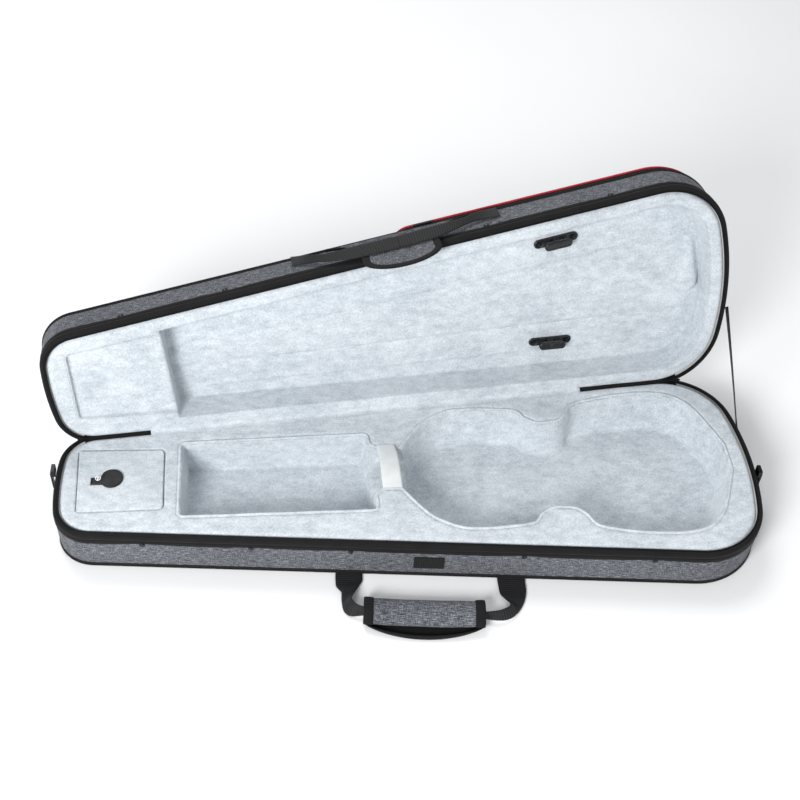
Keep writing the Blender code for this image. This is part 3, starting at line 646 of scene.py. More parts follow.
def field_points(outline, cavities, edge_offsets, lip_offsets, levels, spacing):
    """Plan points that follow the edge, the lips and the walls, and fill what is between."""
    edges = np.vstack([grown(outline, -offset * MM) for offset in edge_offsets])
    walls = []
    for cavity in cavities:
        others = [c for c in cavities if c is not cavity]
        top_outline = loop_outline(cavity.top)
        for offset in lip_offsets:
            ring_points = grown(top_outline, offset * MM)
            clear = np.max([signed_distance(ring_points, c.top) for c in cavities], axis=0)
            walls.append(ring_points[(clear < -0.8 * offset * MM) & (clear > -1.3 * offset * MM - 0.1 * MM)])
        for loop, depth in cavity.level_points(levels):
            if others:
                loop = loop[deepest(others, loop) <= depth + 0.4 * MM]
            walls.append(loop)
    walls = np.vstack(walls)
    walls = walls[inside_case(walls) > (edge_offsets[-1] + 0.8) * MM]
    low, high = outline[0].min(0), outline[0].max(0)
    columns = np.arange(low[0], high[0], spacing)
    rows = np.arange(low[1], high[1], spacing * 0.87)
    fill = np.array([(x + (spacing / 2 if j % 2 else 0), y) for j, y in enumerate(rows) for x in columns])
    fill = fill[inside_case(fill) > edge_offsets[-1] * MM + 0.6 * spacing]
    kept = np.vstack([edges, walls])
    return np.vstack([kept, spread_out(fill, kept, 0.6 * spacing)])


def spread_out(points, kept, gap):
    """The points that are at least a gap away from every kept one."""
    cells = {}
    for x, y in kept:
        cells.setdefault((int(x // gap), int(y // gap)), []).append((x, y))
    free = []
    for x, y in points:
        i, j = int(x // gap), int(y // gap)
        near = (p for a in (-1, 0, 1) for b in (-1, 0, 1) for p in cells.get((i + a, j + b), ()))
        if all((x - px) ** 2 + (y - py) ** 2 > gap * gap for px, py in near):
            free.append((x, y))
    return np.array(free) if free else np.empty((0, 2))


def triangulated(points, digits, tolerance):
    """Delaunay triangles over plan points, rounded to some digits: (points, faces)."""
    spots = np.unique(np.round(points, digits), axis=0)
    result = delaunay_2d_cdt([Vector(p) for p in spots], [], [], 0, tolerance)
    return np.array([(v.x, v.y) for v in result[0]]), [tuple(f) for f in result[2]]


def field_mesh(name, plan_points, depth_of, side):
    """Delaunay mesh over plan points at the depths that a function gives."""
    flat, faces = triangulated(plan_points, 6, 1e-7)
    vertices = placed(np.column_stack([flat, depth_of(flat)]), side)
    uv = [tuple(flat[i]) for face in faces for i in face]
    return mesh_from(name, vertices, faces, uv)


def lip(distance):
    """Depth beside a cavity edge, from the distance outside it: a rolled lip and its seam."""
    d = distance / MM
    rolled = 1.5 * np.clip(1 - d / 1.3, 0, 1) ** 2
    crown = -1.0 * np.exp(-((d - 2.0) / 1.05) ** 2)
    seam = 1.3 * np.exp(-((d - 4.1) / 0.5) ** 2)
    return (rolled + crown + seam) * MM


def rolled_edge(distance):
    """Depth beside the zip, from the distance inside the outline."""
    d = distance / MM
    rolled = 3.2 * np.clip(1 - d / 4.4, 0, 1) ** 2
    crown = -0.9 * np.exp(-((d - 6.5) / 3.6) ** 2)
    return (rolled + crown) * MM


def distance_to(points, x_mm, y_mm):
    """Distance of plan points to a place given in millimetres."""
    return np.linalg.norm(points - np.array((x_mm, y_mm)) * MM, axis=1)


def ripple(points, size, height, seed):
    """Soft unevenness of hand-laid fabric."""
    random = np.random.default_rng(seed)
    total = np.zeros(len(points))
    for _ in range(7):
        angle = random.uniform(0, math.pi)
        wave = 2 * math.pi / (size * random.uniform(0.6, 1.7))
        phase = random.uniform(0, 2 * math.pi)
        total += np.sin((points[:, 0] * math.cos(angle) + points[:, 1] * math.sin(angle)) * wave + phase)
    return total / 7 * height


# ---------------------------------------------------------------- shell halves

def ring_rows(outline, profile):
    """Rows of (x, y, depth) around an outline, from a profile of (offset, depth)."""
    rows = []
    for offset, depth in profile:
        plan_points = grown(outline, offset)
        rows.append(np.column_stack([plan_points, np.broadcast_to(depth, len(plan_points))]))
    return np.array(rows)


def ring_piece(name, profile, side, look, replaces, outline=CASE):
    """Closed band around an outline."""
    mesh = grid_mesh(name, placed(ring_rows(outline, profile), side), wrap_rows=True, wrap_columns=True)
    return add_piece(name, mesh, look, BODY_OF[side], replaces)


def near_front_stud(xs, reach_mm):
    """One at the studs of the front side and nought between them, around the case outline."""
    points, normals = CASE
    gap = np.min([np.abs(points[:, 0] - x * MM) for x in xs], axis=0) / (reach_mm * MM)
    return np.exp(-gap**2) * (normals[:, 1] < -0.9)


def around(seed, size, height):
    """Smooth unevenness around the case outline."""
    length = path_length(CASE[0], True)
    turn = 2 * math.pi * length[:-1] / length[-1]
    random = np.random.default_rng(seed)
    total = np.zeros(len(turn))
    for k in range(1, 6):
        waves = round(length[-1] / size * random.uniform(0.5, 1.5))
        total += np.sin(turn * waves + random.uniform(0, 6.28)) / k
    return total * height


def shell(side):
    """Canvas side band, sewn piping and outer panel of one half."""
    prefix, height = BODY_OF[side], HEIGHT_OF[side]
    seed = 3 if side == BASE else 8
    puff = around(seed, 0.09, 0.12 * MM)
    parts = np.linspace(0, 1, 9)
    start, end = 11.2 * MM, height - 3.4 * MM
    outer = []
    for part in parts:
        bulge = math.sin(math.pi * part)
        outer.append((6.2 * MM + 0.75 * MM * bulge ** 0.6 + puff * bulge, start + (end - start) * part))
    ring_piece(
        f"{prefix}_canvas_band", [(5.1 * MM, start), *outer, (5.1 * MM, end)],
        side, CANVAS, f"{prefix}_cover",
    )
    bead = [
        (5.6 * MM + 2.0 * MM * math.cos(a), height - 2.5 * MM + 2.0 * MM * math.sin(a))
        for a in full_turn(12)
    ]
    ring_piece(f"{prefix}_edge_piping", bead, side, PIPING, f"{prefix}_piping")
    flange = [
        (4.4 * MM, height - 3.6 * MM), (7.0 * MM, height - 4.6 * MM),
        (6.95 * MM, height - 6.6 * MM), (5.2 * MM, height - 6.6 * MM),
    ]
    ring_piece(f"{prefix}_piping_flange", flange, side, TAPE, ())
    panel(side)


def panel(side):
    """Canvas face of one half, slightly crowned, tucked under the piping."""
    prefix, height = BODY_OF[side], HEIGHT_OF[side]
    steps = ((3.6, -3.0), (3.5, -1.2), (2.9, -0.5), (1.6, -0.15), (-4, 0.0))
    loops = [
        np.column_stack([grown(CASE, offset * MM), np.full(len(CASE[0]), height + depth * MM)])
        for offset, depth in steps
    ]
    inner = grown(CASE, -4 * MM)
    middle = np.column_stack([inner * (0.55, 0.35) + (0.02, 0), np.full(len(inner), height)])
    for part in (0.25, 0.5, 0.75):
        loops.append(loops[4] * (1 - part) + middle * part)
    loops.append(middle)
    mesh = grid_mesh(f"{prefix}_outer_canvas", placed(np.array(loops), side), wrap_columns=True, caps=True)
    plan_uv(mesh, side)
    add_piece(f"{prefix}_outer_canvas", mesh, CANVAS, BODY_OF[side], f"{prefix}_panel")


def plan_uv(mesh, side):
    """Takes the UV from the plan of the closed case."""
    flat = np.array([v.co for v in mesh.vertices])
    if side == LID:
        flat = flat @ np.array(OPEN.inverted(), float)[:3, :3].T
    corners = [loop.vertex_index for loop in mesh.loops]
    mesh.uv_layers[0].data.foreach_set("uv", flat[corners][:, :2].astype(np.float32).ravel())


def open_stretch(start, end):
    """Indices, in one run, of the case outline without its straight hinge side from start to end."""
    points, normals = CASE
    along = (points - HINGE_START) @ HINGE_ALONG
    hinge_side = (normals @ HINGE_OUT > 0.995) & (along > start) & (along < end)
    index = np.where(~hinge_side)[0]
    breaks = np.where(np.diff(index) > 1)[0]
    return np.concatenate([index[breaks[0] + 1:], index[:breaks[0] + 1]]) if len(breaks) else index


def zip_tape(side):
    """Black tape around the rim in two bands with a groove between, edge scalloped at the studs."""
    prefix = BODY_OF[side]
    studs = near_front_stud(STUD_X if side == BASE else LID_STUD_X, 22)
    sag = around(21 + side, 0.11, 0.22 * MM)
    low = 13.3 * MM - 1.7 * MM * studs + sag
    groove = 6.9 * MM
    profile = [
        (5.4 * MM, low), (6.9 * MM, low + 0.35 * MM), (7.35 * MM, low), (7.5 * MM, low - 1.2 * MM),
        (7.45 * MM, groove + 2.6 * MM), (7.4 * MM, groove + 0.9 * MM), (6.5 * MM, groove + 0.3 * MM),
        (6.5 * MM, groove - 0.3 * MM), (7.3 * MM, groove - 0.8 * MM), (7.45 * MM, groove - 2.2 * MM),
        (7.2 * MM, 2.6 * MM), (6.6 * MM, 1.3 * MM), (5.7 * MM, 0.7 * MM), (4.0 * MM, 0.5 * MM),
        (2.6 * MM, 0.6 * MM), (2.6 * MM, 1.8 * MM), (5.0 * MM, 3.2 * MM),
    ]
    grid = ring_rows(CASE, profile)[:, open_stretch(-20 * MM, 760 * MM)]
    mesh = grid_mesh(f"{prefix}_tape", placed(grid, side), wrap_rows=True, caps=True)
    add_piece(f"{prefix}_tape", mesh, TAPE, BODY_OF[side], f"{prefix}_zip_tape")


TOOTH_COUNT = 1150
TOOTH_PROFILE = ((0.3, 0.9, 1), (0.3, 0.2, 0.8), (2.4, 0.2, 0.8), (2.9, 0.9, 1), (2.7, 2.0, 1))


def zip_teeth(side):
    """Coil of teeth along the free stretch of the rim."""
    prefix = BODY_OF[side]
    line = resampled(CASE[0][open_stretch(8 * MM, 742 * MM)], TOOTH_COUNT)
    tangent = np.gradient(line, axis=0)
    tangent /= np.linalg.norm(tangent, axis=1)[:, None]
    normal = np.column_stack([tangent[:, 1], -tangent[:, 0]])
    half = 0.52 * MM
    vertices, faces = [], []
    for p, t, n in zip(line, tangent, normal):
        first = len(vertices)
        for offset, depth, narrow in TOOTH_PROFILE:
            centre = p + n * offset * MM
            for sign in (-1, 1):
                vertices.append((*(centre + t * half * narrow * sign), depth * MM))
        for k in range(4):
            a = first + 2 * k
            faces.append((a, a + 1, a + 3, a + 2))
        faces.append((first, first + 2, first + 4, first + 6, first + 8))
        faces.append((first + 1, first + 3, first + 5, first + 7, first + 9))
        faces.append((first, first + 1, first + 9, first + 8))
    mesh = mesh_from(f"{prefix}_coil", placed(vertices, side), faces)
    add_piece(f"{prefix}_coil", mesh, TEETH, BODY_OF[side], f"{prefix}_zip_teeth")
    mesh.shade_flat()


# ---------------------------------------------------------------- base lining

def base_cavities():
    """Violin body, accessory well, neck slot, and the lidded compartment with its rebate."""
    violin = violin_outline()[0]
    well = cornered(WELL_CORNERS, 4)
    slot = cornered(SLOT_CORNERS, 3)
    hatch = cornered(HATCH_CORNERS, 5)
    return [
        Cavity(violin, scaled(violin, (0.955, 0.82)), WELL_DEPTH),
        Cavity(well[0], grown(well, -4.5 * MM), WELL_DEPTH),
        Cavity(slot[0], grown(slot, -1.5 * MM), 21 * MM),
        Cavity(grown(hatch, 1.0 * MM), grown(hatch, 0.5 * MM), 5.0 * MM),
        Cavity(grown(hatch, -5 * MM), grown(hatch, -8 * MM), WELL_DEPTH),
    ]


def ring_emboss(points, centre, radius, width, height):
    """Height of a ring pressed into a floor."""
    gap = distance_to(points, *centre) - radius * MM
    return height * MM * np.exp(-(gap / (width * MM)) ** 2)


def base_lining():
    """One velour surface over the rim, the lips and every hollow of the base."""
    cavities = base_cavities()
    lipped = cavities[:3]

    def depth_of(points):
        hollow = deepest(cavities, points)
        outside = -np.max([signed_distance(points, c.top) for c in lipped], axis=0)
        outside_hatch = -signed_distance(points, cavities[3].top)
        land = 1.1 * MM + rolled_edge(np.maximum(inside_case(points), 0)) + ripple(points, 0.06, 0.5 * MM, 5)
        land += np.where(outside > 0, lip(np.maximum(outside, 0)), 0)
        land += 1.5 * MM * np.clip(1 - np.maximum(outside_hatch, 0) / (1.6 * MM), 0, 1) ** 2
        land += crease_grooves(points)
        floor = ripple(points, 0.05, 0.8 * MM, 9) * smoothstep(hollow, 0.01, 0.03)
        floor -= ring_emboss(points, WELL_RING, 24, 2.2, 2.2) * smoothstep(hollow, 0.035, 0.043)
        floor += wall_wrinkles(points, hollow)
        sunk = np.maximum(hollow + floor, 0.4 * MM) + PILE
        return np.where(hollow > 0, sunk, np.maximum(land, 0.1 * MM))

    levels = (0.0, 0.03, 0.08, 0.15, 0.24, 0.34, 0.45, 0.56, 0.67, 0.78, 0.86, 0.93, 0.97, 1.0)
    points = field_points(
        CASE, cavities, RIM_OFFSETS, (0.5, 1.0, 1.6, 2.3, 3.1, 3.7, 4.1, 4.5, 5.2),
        levels, 4.2 * MM,
    )
    turns = full_turn(60)
    round_well = np.column_stack([np.cos(turns), np.sin(turns)])
    rings = [round_well * radius + WELL_RING for radius in (19, 21, 22.5, 24, 25.5, 27, 29)]
    rings = np.vstack(rings) * MM
    rings = rings[deepest(cavities, rings) > 40 * MM]
    points = np.vstack([rings, spread_out(points, rings, 1.0 * MM)])
    mesh = field_mesh("base_velour", points, depth_of, BASE)
    piece = add_piece("base_velour", mesh, PLUSH, "base", "base_lining")


def crease_grooves(points):
    """Seam beside the compartment where the lining folds into the well's wall."""
    d = (points[:, 0] / MM + 272.5) / 0.8
    along = smoothstep(points[:, 1] / MM, -52, -46) * (1 - smoothstep(points[:, 1] / MM, 52, 58))
    return 1.1 * MM * np.exp(-d * d) * along


def wall_wrinkles(points, hollow):
    """Soft folds where the fabric is drawn over the curved walls."""
    wall = smoothstep(hollow, 0.004, 0.012) * (1 - smoothstep(hollow, 0.036, 0.044))
    swirl = ripple(points * (1, 2.2), 0.035, 2.4 * MM, 31) + ripple(points * (2.4, 1), 0.02, 1.2 * MM, 14)
    return wall * swirl


# ---------------------------------------------------------------- lid lining

def cut_square(loop, edge_x):
    """The part of a loop beyond a line across the case, closed along that line."""
    kept = []
    for i, (x, y) in enumerate(loop):
        last_x, last_y = loop[i - 1]
        if (x - edge_x) * (last_x - edge_x) < 0:
            part = (edge_x - last_x) / (x - last_x)
            kept.append((edge_x, last_y + part * (y - last_y)))
        if x > edge_x:
            kept.append((x, y))
    loop = np.array(kept + kept[:1])
    return resampled(loop, round(path_length(loop, False)[-1] / (3 * MM)))[:-1]


def lid_cavities():
    """The long recess and the shallow pad over the compartment."""
    top = cut_square(grown(CASE, -16 * MM), RECESS_X * MM)
    floor = cut_square(grown(CASE, -21 * MM), (RECESS_X + 2) * MM)
    floor = matched(top, floor)
    pad = cornered(PAD_CORNERS, 6)
    return [
        Cavity(top, floor, 35 * MM),
        Cavity(pad[0], grown(pad, -1.2 * MM), 4.4 * MM),
    ]


def matched(loop, target):
    """For each point of a loop, the nearest point of another loop."""
    ends = np.roll(target, -1, axis=0)
    edge = ends - target
    part = np.clip(((loop[:, None] - target) * edge).sum(2) / (edge**2).sum(1), 0, 1)
    spots = target + part[..., None] * edge
    nearest = ((loop[:, None] - spots) ** 2).sum(2).argmin(1)
    return spots[np.arange(len(loop)), nearest]


def line_offset(points, start, end):
    """Distance across a line from start to end, positive on its +y side, millimetres."""
    (x0, y0), (x1, y1) = start, end
    run = math.hypot(x1 - x0, y1 - y0)
    return ((points[:, 1] / MM - y0) * (x1 - x0) - (points[:, 0] / MM - x0) * (y1 - y0)) / run


LID_CREASES = (
    ((-180, -20), (250, -50)), ((-180, 15), (250, 40)), ((-240, -47), (250, -92)), ((-225, 42), (250, 78)),
)
CREASE_DEPTHS = (2.4, 2.2, -2.0, -1.8)


def beside_lines(lines, gaps_mm, spacing=4.0):
    """Plan points along straight lines and at gaps beside them."""
    made = []
    for (x0, y0), (x1, y1) in lines:
        run = math.hypot(x1 - x0, y1 - y0)
        along = np.array((x1 - x0, y1 - y0)) / run
        across = np.array((-along[1], along[0]))
        steps = np.arange(0, run, spacing)[:, None]
        made += [np.array((x0, y0)) + along * steps + across * gap for gap in gaps_mm]
    return np.vstack(made) * MM


def lid_floor_relief(points):
    """Raised middle panel between two long creases, and the creases beside the walls."""
    gaps = [line_offset(points, *ends) for ends in LID_CREASES]
    first, second = gaps[:2]
    middle = smoothstep(first, -1.2, 1.2) * (1 - smoothstep(second, -1.2, 1.2))
    creases = sum(depth * np.exp(-(gap / 1.7) ** 2) for gap, depth in zip(gaps, CREASE_DEPTHS))
    slope = 3.4 * np.clip(-first / 60, 0, 1) + 2.6 * np.clip(second / 55, 0, 1)
    return (creases - 2.6 * middle + slope - 2.3) * MM


def knob(points):
    """Drop-shaped lump at the wide end of the lid's recess."""
    start, end = np.array((357, 6)) * MM, np.array((362, -46)) * MM
    axis = end - start
    part = np.clip((points - start) @ axis / (axis @ axis), 0, 1)
    radius = (15.5 - 11.5 * part**0.9) * MM
    gap = np.linalg.norm(points - start - part[:, None] * axis, axis=1)
    dome = np.sqrt(np.clip(1 - (gap / radius) ** 2, 0, 1))
    return dome * (13.5 - 9.5 * part) * MM


def pad_relief(points):
    """Dimple and bumps pressed into the pad over the compartment."""
    gap = distance_to(points, -346, -2) / MM
    dimple = 1.4 * np.exp(-((gap - 12) / 3.0) ** 2) - 0.9 * np.exp(-(gap / 8.5) ** 2)
    fold = 0.8 * np.exp(-(line_offset(points, (-352, -20), (-320, 6)) / 5) ** 2)
    near = np.exp(-(distance_to(points, -330, -12) / MM / 26) ** 2)
    return (dimple + fold * near) * MM


def lid_lining():
    """Velour over the lid's rim, recess and pad."""
    cavities = lid_cavities()

    def depth_of(points):
        hollow = deepest(cavities, points)
        outside = -np.max([signed_distance(points, c.top) for c in cavities], axis=0)
        land = 1.0 * MM + rolled_edge(np.maximum(inside_case(points), 0)) + ripple(points, 0.07, 0.5 * MM, 12)
        land += 1.3 * MM * np.clip(1 - np.maximum(outside, 0) / (1.6 * MM), 0, 1) ** 2
        land += 1.3 * MM * np.exp(-((outside / MM - 0.9) / 0.5) ** 2) * (points[:, 0] < RECESS_X * MM)
        deep = smoothstep(hollow, 0.030, 0.035)
        floor = lid_floor_relief(points) * deep
        floor += ripple(points * (1, 1.6), 0.05, 1.1 * MM, 23) * smoothstep(hollow, 0.008, 0.02)
        on_pad = (hollow > 0) & (hollow < 6 * MM) & (points[:, 0] < (RECESS_X + 1) * MM)
        floor += np.where(on_pad, pad_relief(points) + ripple(points, 0.03, 0.5 * MM, 6), 0)
        deep_floor = hollow + floor + 0.9 * MM
        deep_floor = np.minimum(deep_floor, np.maximum(deep_floor - knob(points), 22 * MM))
        return np.where(hollow > 0, np.maximum(deep_floor, 0.9 * MM), np.maximum(land, 0.1 * MM))

    levels = (0.0, 0.02, 0.06, 0.13, 0.22, 0.33, 0.45, 0.57, 0.7, 0.82, 0.9, 0.96, 1.0)
    points = field_points(
        CASE, cavities, RIM_OFFSETS, (0.5, 1.0, 1.6, 2.4), levels, 4.0 * MM,
    )
    folds = beside_lines(LID_CREASES, (-3.4, -2.2, -1.1, 0, 1.1, 2.2, 3.4))
    folds = folds[deepest(cavities, folds) > 32 * MM]
    points = np.vstack([folds, spread_out(points, folds, 1.0 * MM)])
    mesh = field_mesh("lid_velour", points, depth_of, LID)
    piece = add_piece("lid_velour", mesh, PLUSH, "lid", "lid_lining")


# ---------------------------------------------------------------- flat, woven and round pieces

def plaque(name, outline, height_of, place, spacing=2 * MM, insets=(0, 0.25, 0.7, 1.4), back=0.0):
    """Closed pad over a flat outline: a top at the heights of a function, sides and a flat back."""
    loops = [grown(outline, -inset * MM) for inset in insets]
    edge = loops[0]
    low, high = edge.min(0), edge.max(0)
    fill = np.array([
        (x, y) for x in np.arange(low[0], high[0], spacing) for y in np.arange(low[1], high[1], spacing)
    ])
    fill = fill[signed_distance(fill, edge) > insets[-1] * MM + 0.5 * spacing]
    flat, faces = triangulated(np.vstack([*loops, fill]), 7, 1e-8)
    centres = np.array([flat[list(f)].mean(0) for f in faces])
    inside = signed_distance(centres, edge) > -1e-6
    faces = [f for f, keep in zip(faces, inside) if keep]
    depth_in = np.maximum(signed_distance(flat, edge), 0)
    top = np.column_stack([flat, height_of(flat, depth_in)])
    rim = np.column_stack([edge, height_of(edge, np.zeros(len(edge)))])
    under = np.column_stack([edge, np.full(len(edge), back)])
    first, count = len(flat), len(edge)
    vertices = np.vstack([top, rim, under])
    for i in range(count):
        j = (i + 1) % count
        faces.append((first + i, first + j, first + count + j, first + count + i))
    faces.append(tuple(range(first + count, first + 2 * count)))
    uv = [tuple(vertices[i][:2]) for face in faces for i in face]
    return outward_faces(mesh_from(name, place(vertices), faces, uv), 0.01 * MM)


def rounded_top(height, radius):
    """Height function of a flat top with a rounded edge."""
    def height_of(points, depth_in):
        edge = np.clip(1 - depth_in / radius, 0, 1)
        return height - radius * 0.8 * (1 - np.sqrt(np.clip(1 - edge**2, 0, 1)))
    return height_of


def ribbon(name, left, right, thickness, rib_height=0.0, rib_pitch=3 * MM, spacing=0.7 * MM):
    """Webbing between two edge curves, with ribs across it."""
    first = smooth_line(left, spacing)
    second = resampled(smooth_line(right, spacing), len(first) - 1)
    across = second - first
    middle = (first + second) / 2
    heading = np.gradient(middle, axis=0)
    normal = np.cross(heading, across)
    normal /= np.linalg.norm(normal, axis=1)[:, None]
    run = path_length(middle, False)
    ribs = rib_height * (0.5 + 0.5 * np.cos(2 * math.pi * run / rib_pitch))
    parts = np.linspace(-0.5, 0.5, 11)
    rounding = np.sqrt(np.clip(1 - (np.abs(parts) * 2) ** 8, 0.05, 1))
    rows = []
    for sign, order in ((1, range(11)), (-1, range(10, -1, -1))):
        for i in order:
            lift = (thickness / 2 * rounding[i] + ribs * rounding[i])[:, None] * normal * sign
            rows.append(middle + across * parts[i] + lift)
    return grid_mesh(name, np.array(rows), wrap_rows=True, caps=True)


def bead_along(name, line, radius, other):
    """Oval bead along a line, with its two radii."""
    heading = np.gradient(line, axis=0)
    heading /= np.linalg.norm(heading, axis=1)[:, None]
    guide = np.array((0.13, 0.21, 0.97))
    side = np.cross(heading, guide)
    side /= np.linalg.norm(side, axis=1)[:, None]
    up = np.cross(side, heading)
    rows = [line + side * radius * math.cos(a) + up * other * math.sin(a) for a in full_turn(12)]
    return grid_mesh(name, np.array(rows), wrap_rows=True, caps=True)


# ---------------------------------------------------------------- pieces across the hinge

def beside_hinge(stations, reach_mm, depth, side):
    """Points along the hinge, at a distance outside it and a depth into one half."""
    plan_points = HINGE_START + HINGE_ALONG * stations[:, None] + HINGE_OUT * reach_mm * MM
    return placed(np.column_stack([plan_points, depth]), side)


def hinge_strip(name, start, end, look, thins_at=None):
    """Fabric in the corner between the halves, from one place along the hinge to another."""
    wide = ((-8.2, 1.5), (-6.6, 0.7), (-4.6, 0.3), (-2.6, 0.1), (-1.25, -0.35))
    tucked = ((-6.0, 3.4), (-4.0, 3.4), (-2.2, 3.3), (-1.4, 3.0), (-1.0, 2.0), (-0.8, 0.9), (-0.65, -0.1))
    section, half_length = (wide, 8.6) if look is PLUSH else (tucked, 8.4)
    stations = np.linspace(start, end, max(3, round((end - start) / (5 * MM))))
    slack = 0.12 * MM * np.sin(stations * 210) * np.sin(stations * 57)
    from_end = np.full(len(stations), np.inf) if thins_at is None else np.abs(stations - thins_at) / MM
    width = np.clip(from_end / 45, 0.05, 1)
    sunk = 2.5 * np.clip(1 - from_end / 12, 0, 1)

    def row(offset, depth, side, thick):
        shown = width if -2.1 < offset else np.ones(len(stations))
        reach = -0.7 + (offset + 0.7) * shown[:, None]
        depths = (depth * shown + thick + sunk) * MM + slack * min(1, -offset / 3)
        return beside_hinge(stations, reach, depths, side)

    top = [row(o, d, BASE, 0) for o, d in section]
    top.append(beside_hinge(stations, -0.62, (sunk - 0.79) * MM, BASE))
    top += [row(o, d, LID, 0) for o, d in section[::-1]]
    under = [row(o, d, LID, 0.7) for o, d in section]
    under.append(beside_hinge(stations, -0.17, (sunk - 0.2) * MM, BASE))
    under += [row(o, d, BASE, 0.7) for o, d in section[::-1]]
    mesh = grid_mesh(name, np.array(top + under), wrap_rows=True, caps=True)
    made = add_piece(name, mesh, look, None)
    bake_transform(made)


def hinge_leaf(side):
    """Outer tape of the fabric hinge, lying in the groove between the halves."""
    stations = np.linspace(8 * MM, 742 * MM, 150)
    section = (
        (5.2, 13.4), (7.3, 13.4), (7.5, 12.8), (7.7, 11.6), (4.7, 6.3), (1.5, 0.9), (0.2, 0.5),
        (0.5, 2.4), (3.4, 7.0), (5.2, 10.6),
    )
    rows = [beside_hinge(stations, o, np.full(len(stations), d * MM), side) for o, d in section]
    name = f"hinge_tape_{BODY_OF[side]}"
    mesh = grid_mesh(name, np.array(rows), wrap_rows=True, caps=True)
    replaced = "hinge_tape" if side == BASE else ()
    add_piece(name, mesh, TAPE, BODY_OF[side], replaced)


def stay_strap():
    """Thin webbing stay between the halves at the wide end, half turned on its way."""
    low, high = np.array((400.9, 54, 37)) * MM, np.array((393.8, 170.5, 140.5)) * MM
    axis = (high - low) / np.linalg.norm(high - low)
    flat = np.cross(axis, (1, 0, 0))
    flat /= np.linalg.norm(flat)
    parts = np.linspace(0, 1, 9)
    turns = np.radians(np.interp(parts, (0, 0.15, 0.6, 1), (-4, -15, -6, 3)))
    sag = np.sin(parts * math.pi) * 2.5 * MM
    edges = {-1: [], 1: []}
    for part, turn, dip in zip(parts, turns, sag):
        at = low + (high - low) * part + np.array((1.4 * MM, 0, 0)) - np.array((0, dip, 0))
        side = flat * math.cos(turn) + np.cross(axis, flat) * math.sin(turn)
        for sign in edges:
            edges[sign].append(at + side * sign * 5 * MM)
    mesh = ribbon("stay_webbing", edges[-1], edges[1], 0.8 * MM, 0.05 * MM, 2 * MM, 2 * MM)
    made = add_piece("stay_webbing", mesh, WEBBING, None, "stay_strap")
    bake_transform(made)


# ---------------------------------------------------------------- base fittings

def compartment_cover():
    """Velour-covered board with its crease along the hinged edge."""
    corners = [(x * MM, y * MM, r * MM) for (x, y), r in zip(HATCH_CORNERS, (1.2, 5, 5, 1.2))]
    outline = rounded_outline(corners, 2.4 * MM)
    board_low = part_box("compartment_lid")[0].z
    rise = RIM_Z - 0.35 * MM - board_low

    def height_of(points, depth_in):
        edge = 1.5 * MM * np.clip(1 - depth_in / (1.5 * MM), 0, 1) ** 2
        pillow = 0.45 * MM * (1 - np.exp(-depth_in / (9 * MM)))
        hinge_fold = 0.7 * MM * np.exp(-((points[:, 0] / MM + 375.5) / 1.3) ** 2)
        dent = 0.5 * MM * np.exp(-(distance_to(points, -333, -16) / (16 * MM)) ** 2)
        return rise - edge + pillow - hinge_fold - dent + ripple(points, 0.035, 0.3 * MM, 40) - 0.2 * MM

    mesh = plaque(
        "compartment_cover", outline, height_of, lambda p: p + (0, 0, board_low),
        2.4 * MM, (0, 0.3, 0.8, 1.5, 2.4),
    )
    made = add_piece("compartment_cover", mesh, PLUSH, "compartment_lid", "compartment_lid")


RIVET_PLACE = (-357, 5)


def pull_tab():
    """Leather tab: square root under the rivet, neck and round head, with a sewn edge."""
    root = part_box("pull_tab")[0].z
    angles = np.radians(np.linspace(-138, 138, 40))
    arc = np.array((-342, 5)) * MM + 13 * MM * np.column_stack([np.cos(angles), np.sin(angles)])
    neck_low = np.array(((-365, -3.2), (-362, -3.2), (-358.5, -3.2), (-354.5, -3.4))) * MM
    neck_high = neck_low[::-1] + (0, 10 * MM)
    loop = loop_outline(np.vstack([neck_low, arc, neck_high]))

    def height_of(points, depth_in):
        edge = 0.7 * MM * np.clip(1 - depth_in / (0.9 * MM), 0, 1) ** 2
        seam = 0.22 * MM * np.exp(-((depth_in - 2.2 * MM) / (0.45 * MM)) ** 2)
        curl = 1.1 * MM * smoothstep(points[:, 0], -346 * MM, -328 * MM)
        press = 0.5 * MM * np.exp(-(distance_to(points, *RIVET_PLACE) / (4.6 * MM)) ** 4)
        return 1.7 * MM - edge - seam + curl - press

    mesh = plaque(
        "leather_tab", loop, height_of, lambda p: p + (0, 0, root), 1.2 * MM, (0, 0.4, 0.9, 1.7, 2.2, 2.8),
    )
    add_piece("leather_tab", mesh, LEATHER, "pull_tab", "pull_tab")
    profile = (
        (3.5, 0.0), (3.6, 0.35), (3.4, 0.7), (3.0, 0.75), (2.7, 0.55),
        (2.4, 0.65), (2.0, 1.15), (1.2, 1.5), (0.35, 1.62),
    )
    x, y = np.array(RIVET_PLACE) * MM
    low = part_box("tab_rivet")[0].z - 0.35 * MM
    angles = full_turn(40)
    rows = [
        np.column_stack([x + r * MM * np.cos(angles), y + r * MM * np.sin(angles), np.full(40, low + h * MM)])
        for r, h in profile
    ]
    rivet = grid_mesh("rivet_cap", np.array(rows), wrap_columns=True, caps=True)
    add_piece("rivet_cap", rivet, STEEL, "compartment_lid", "tab_rivet")


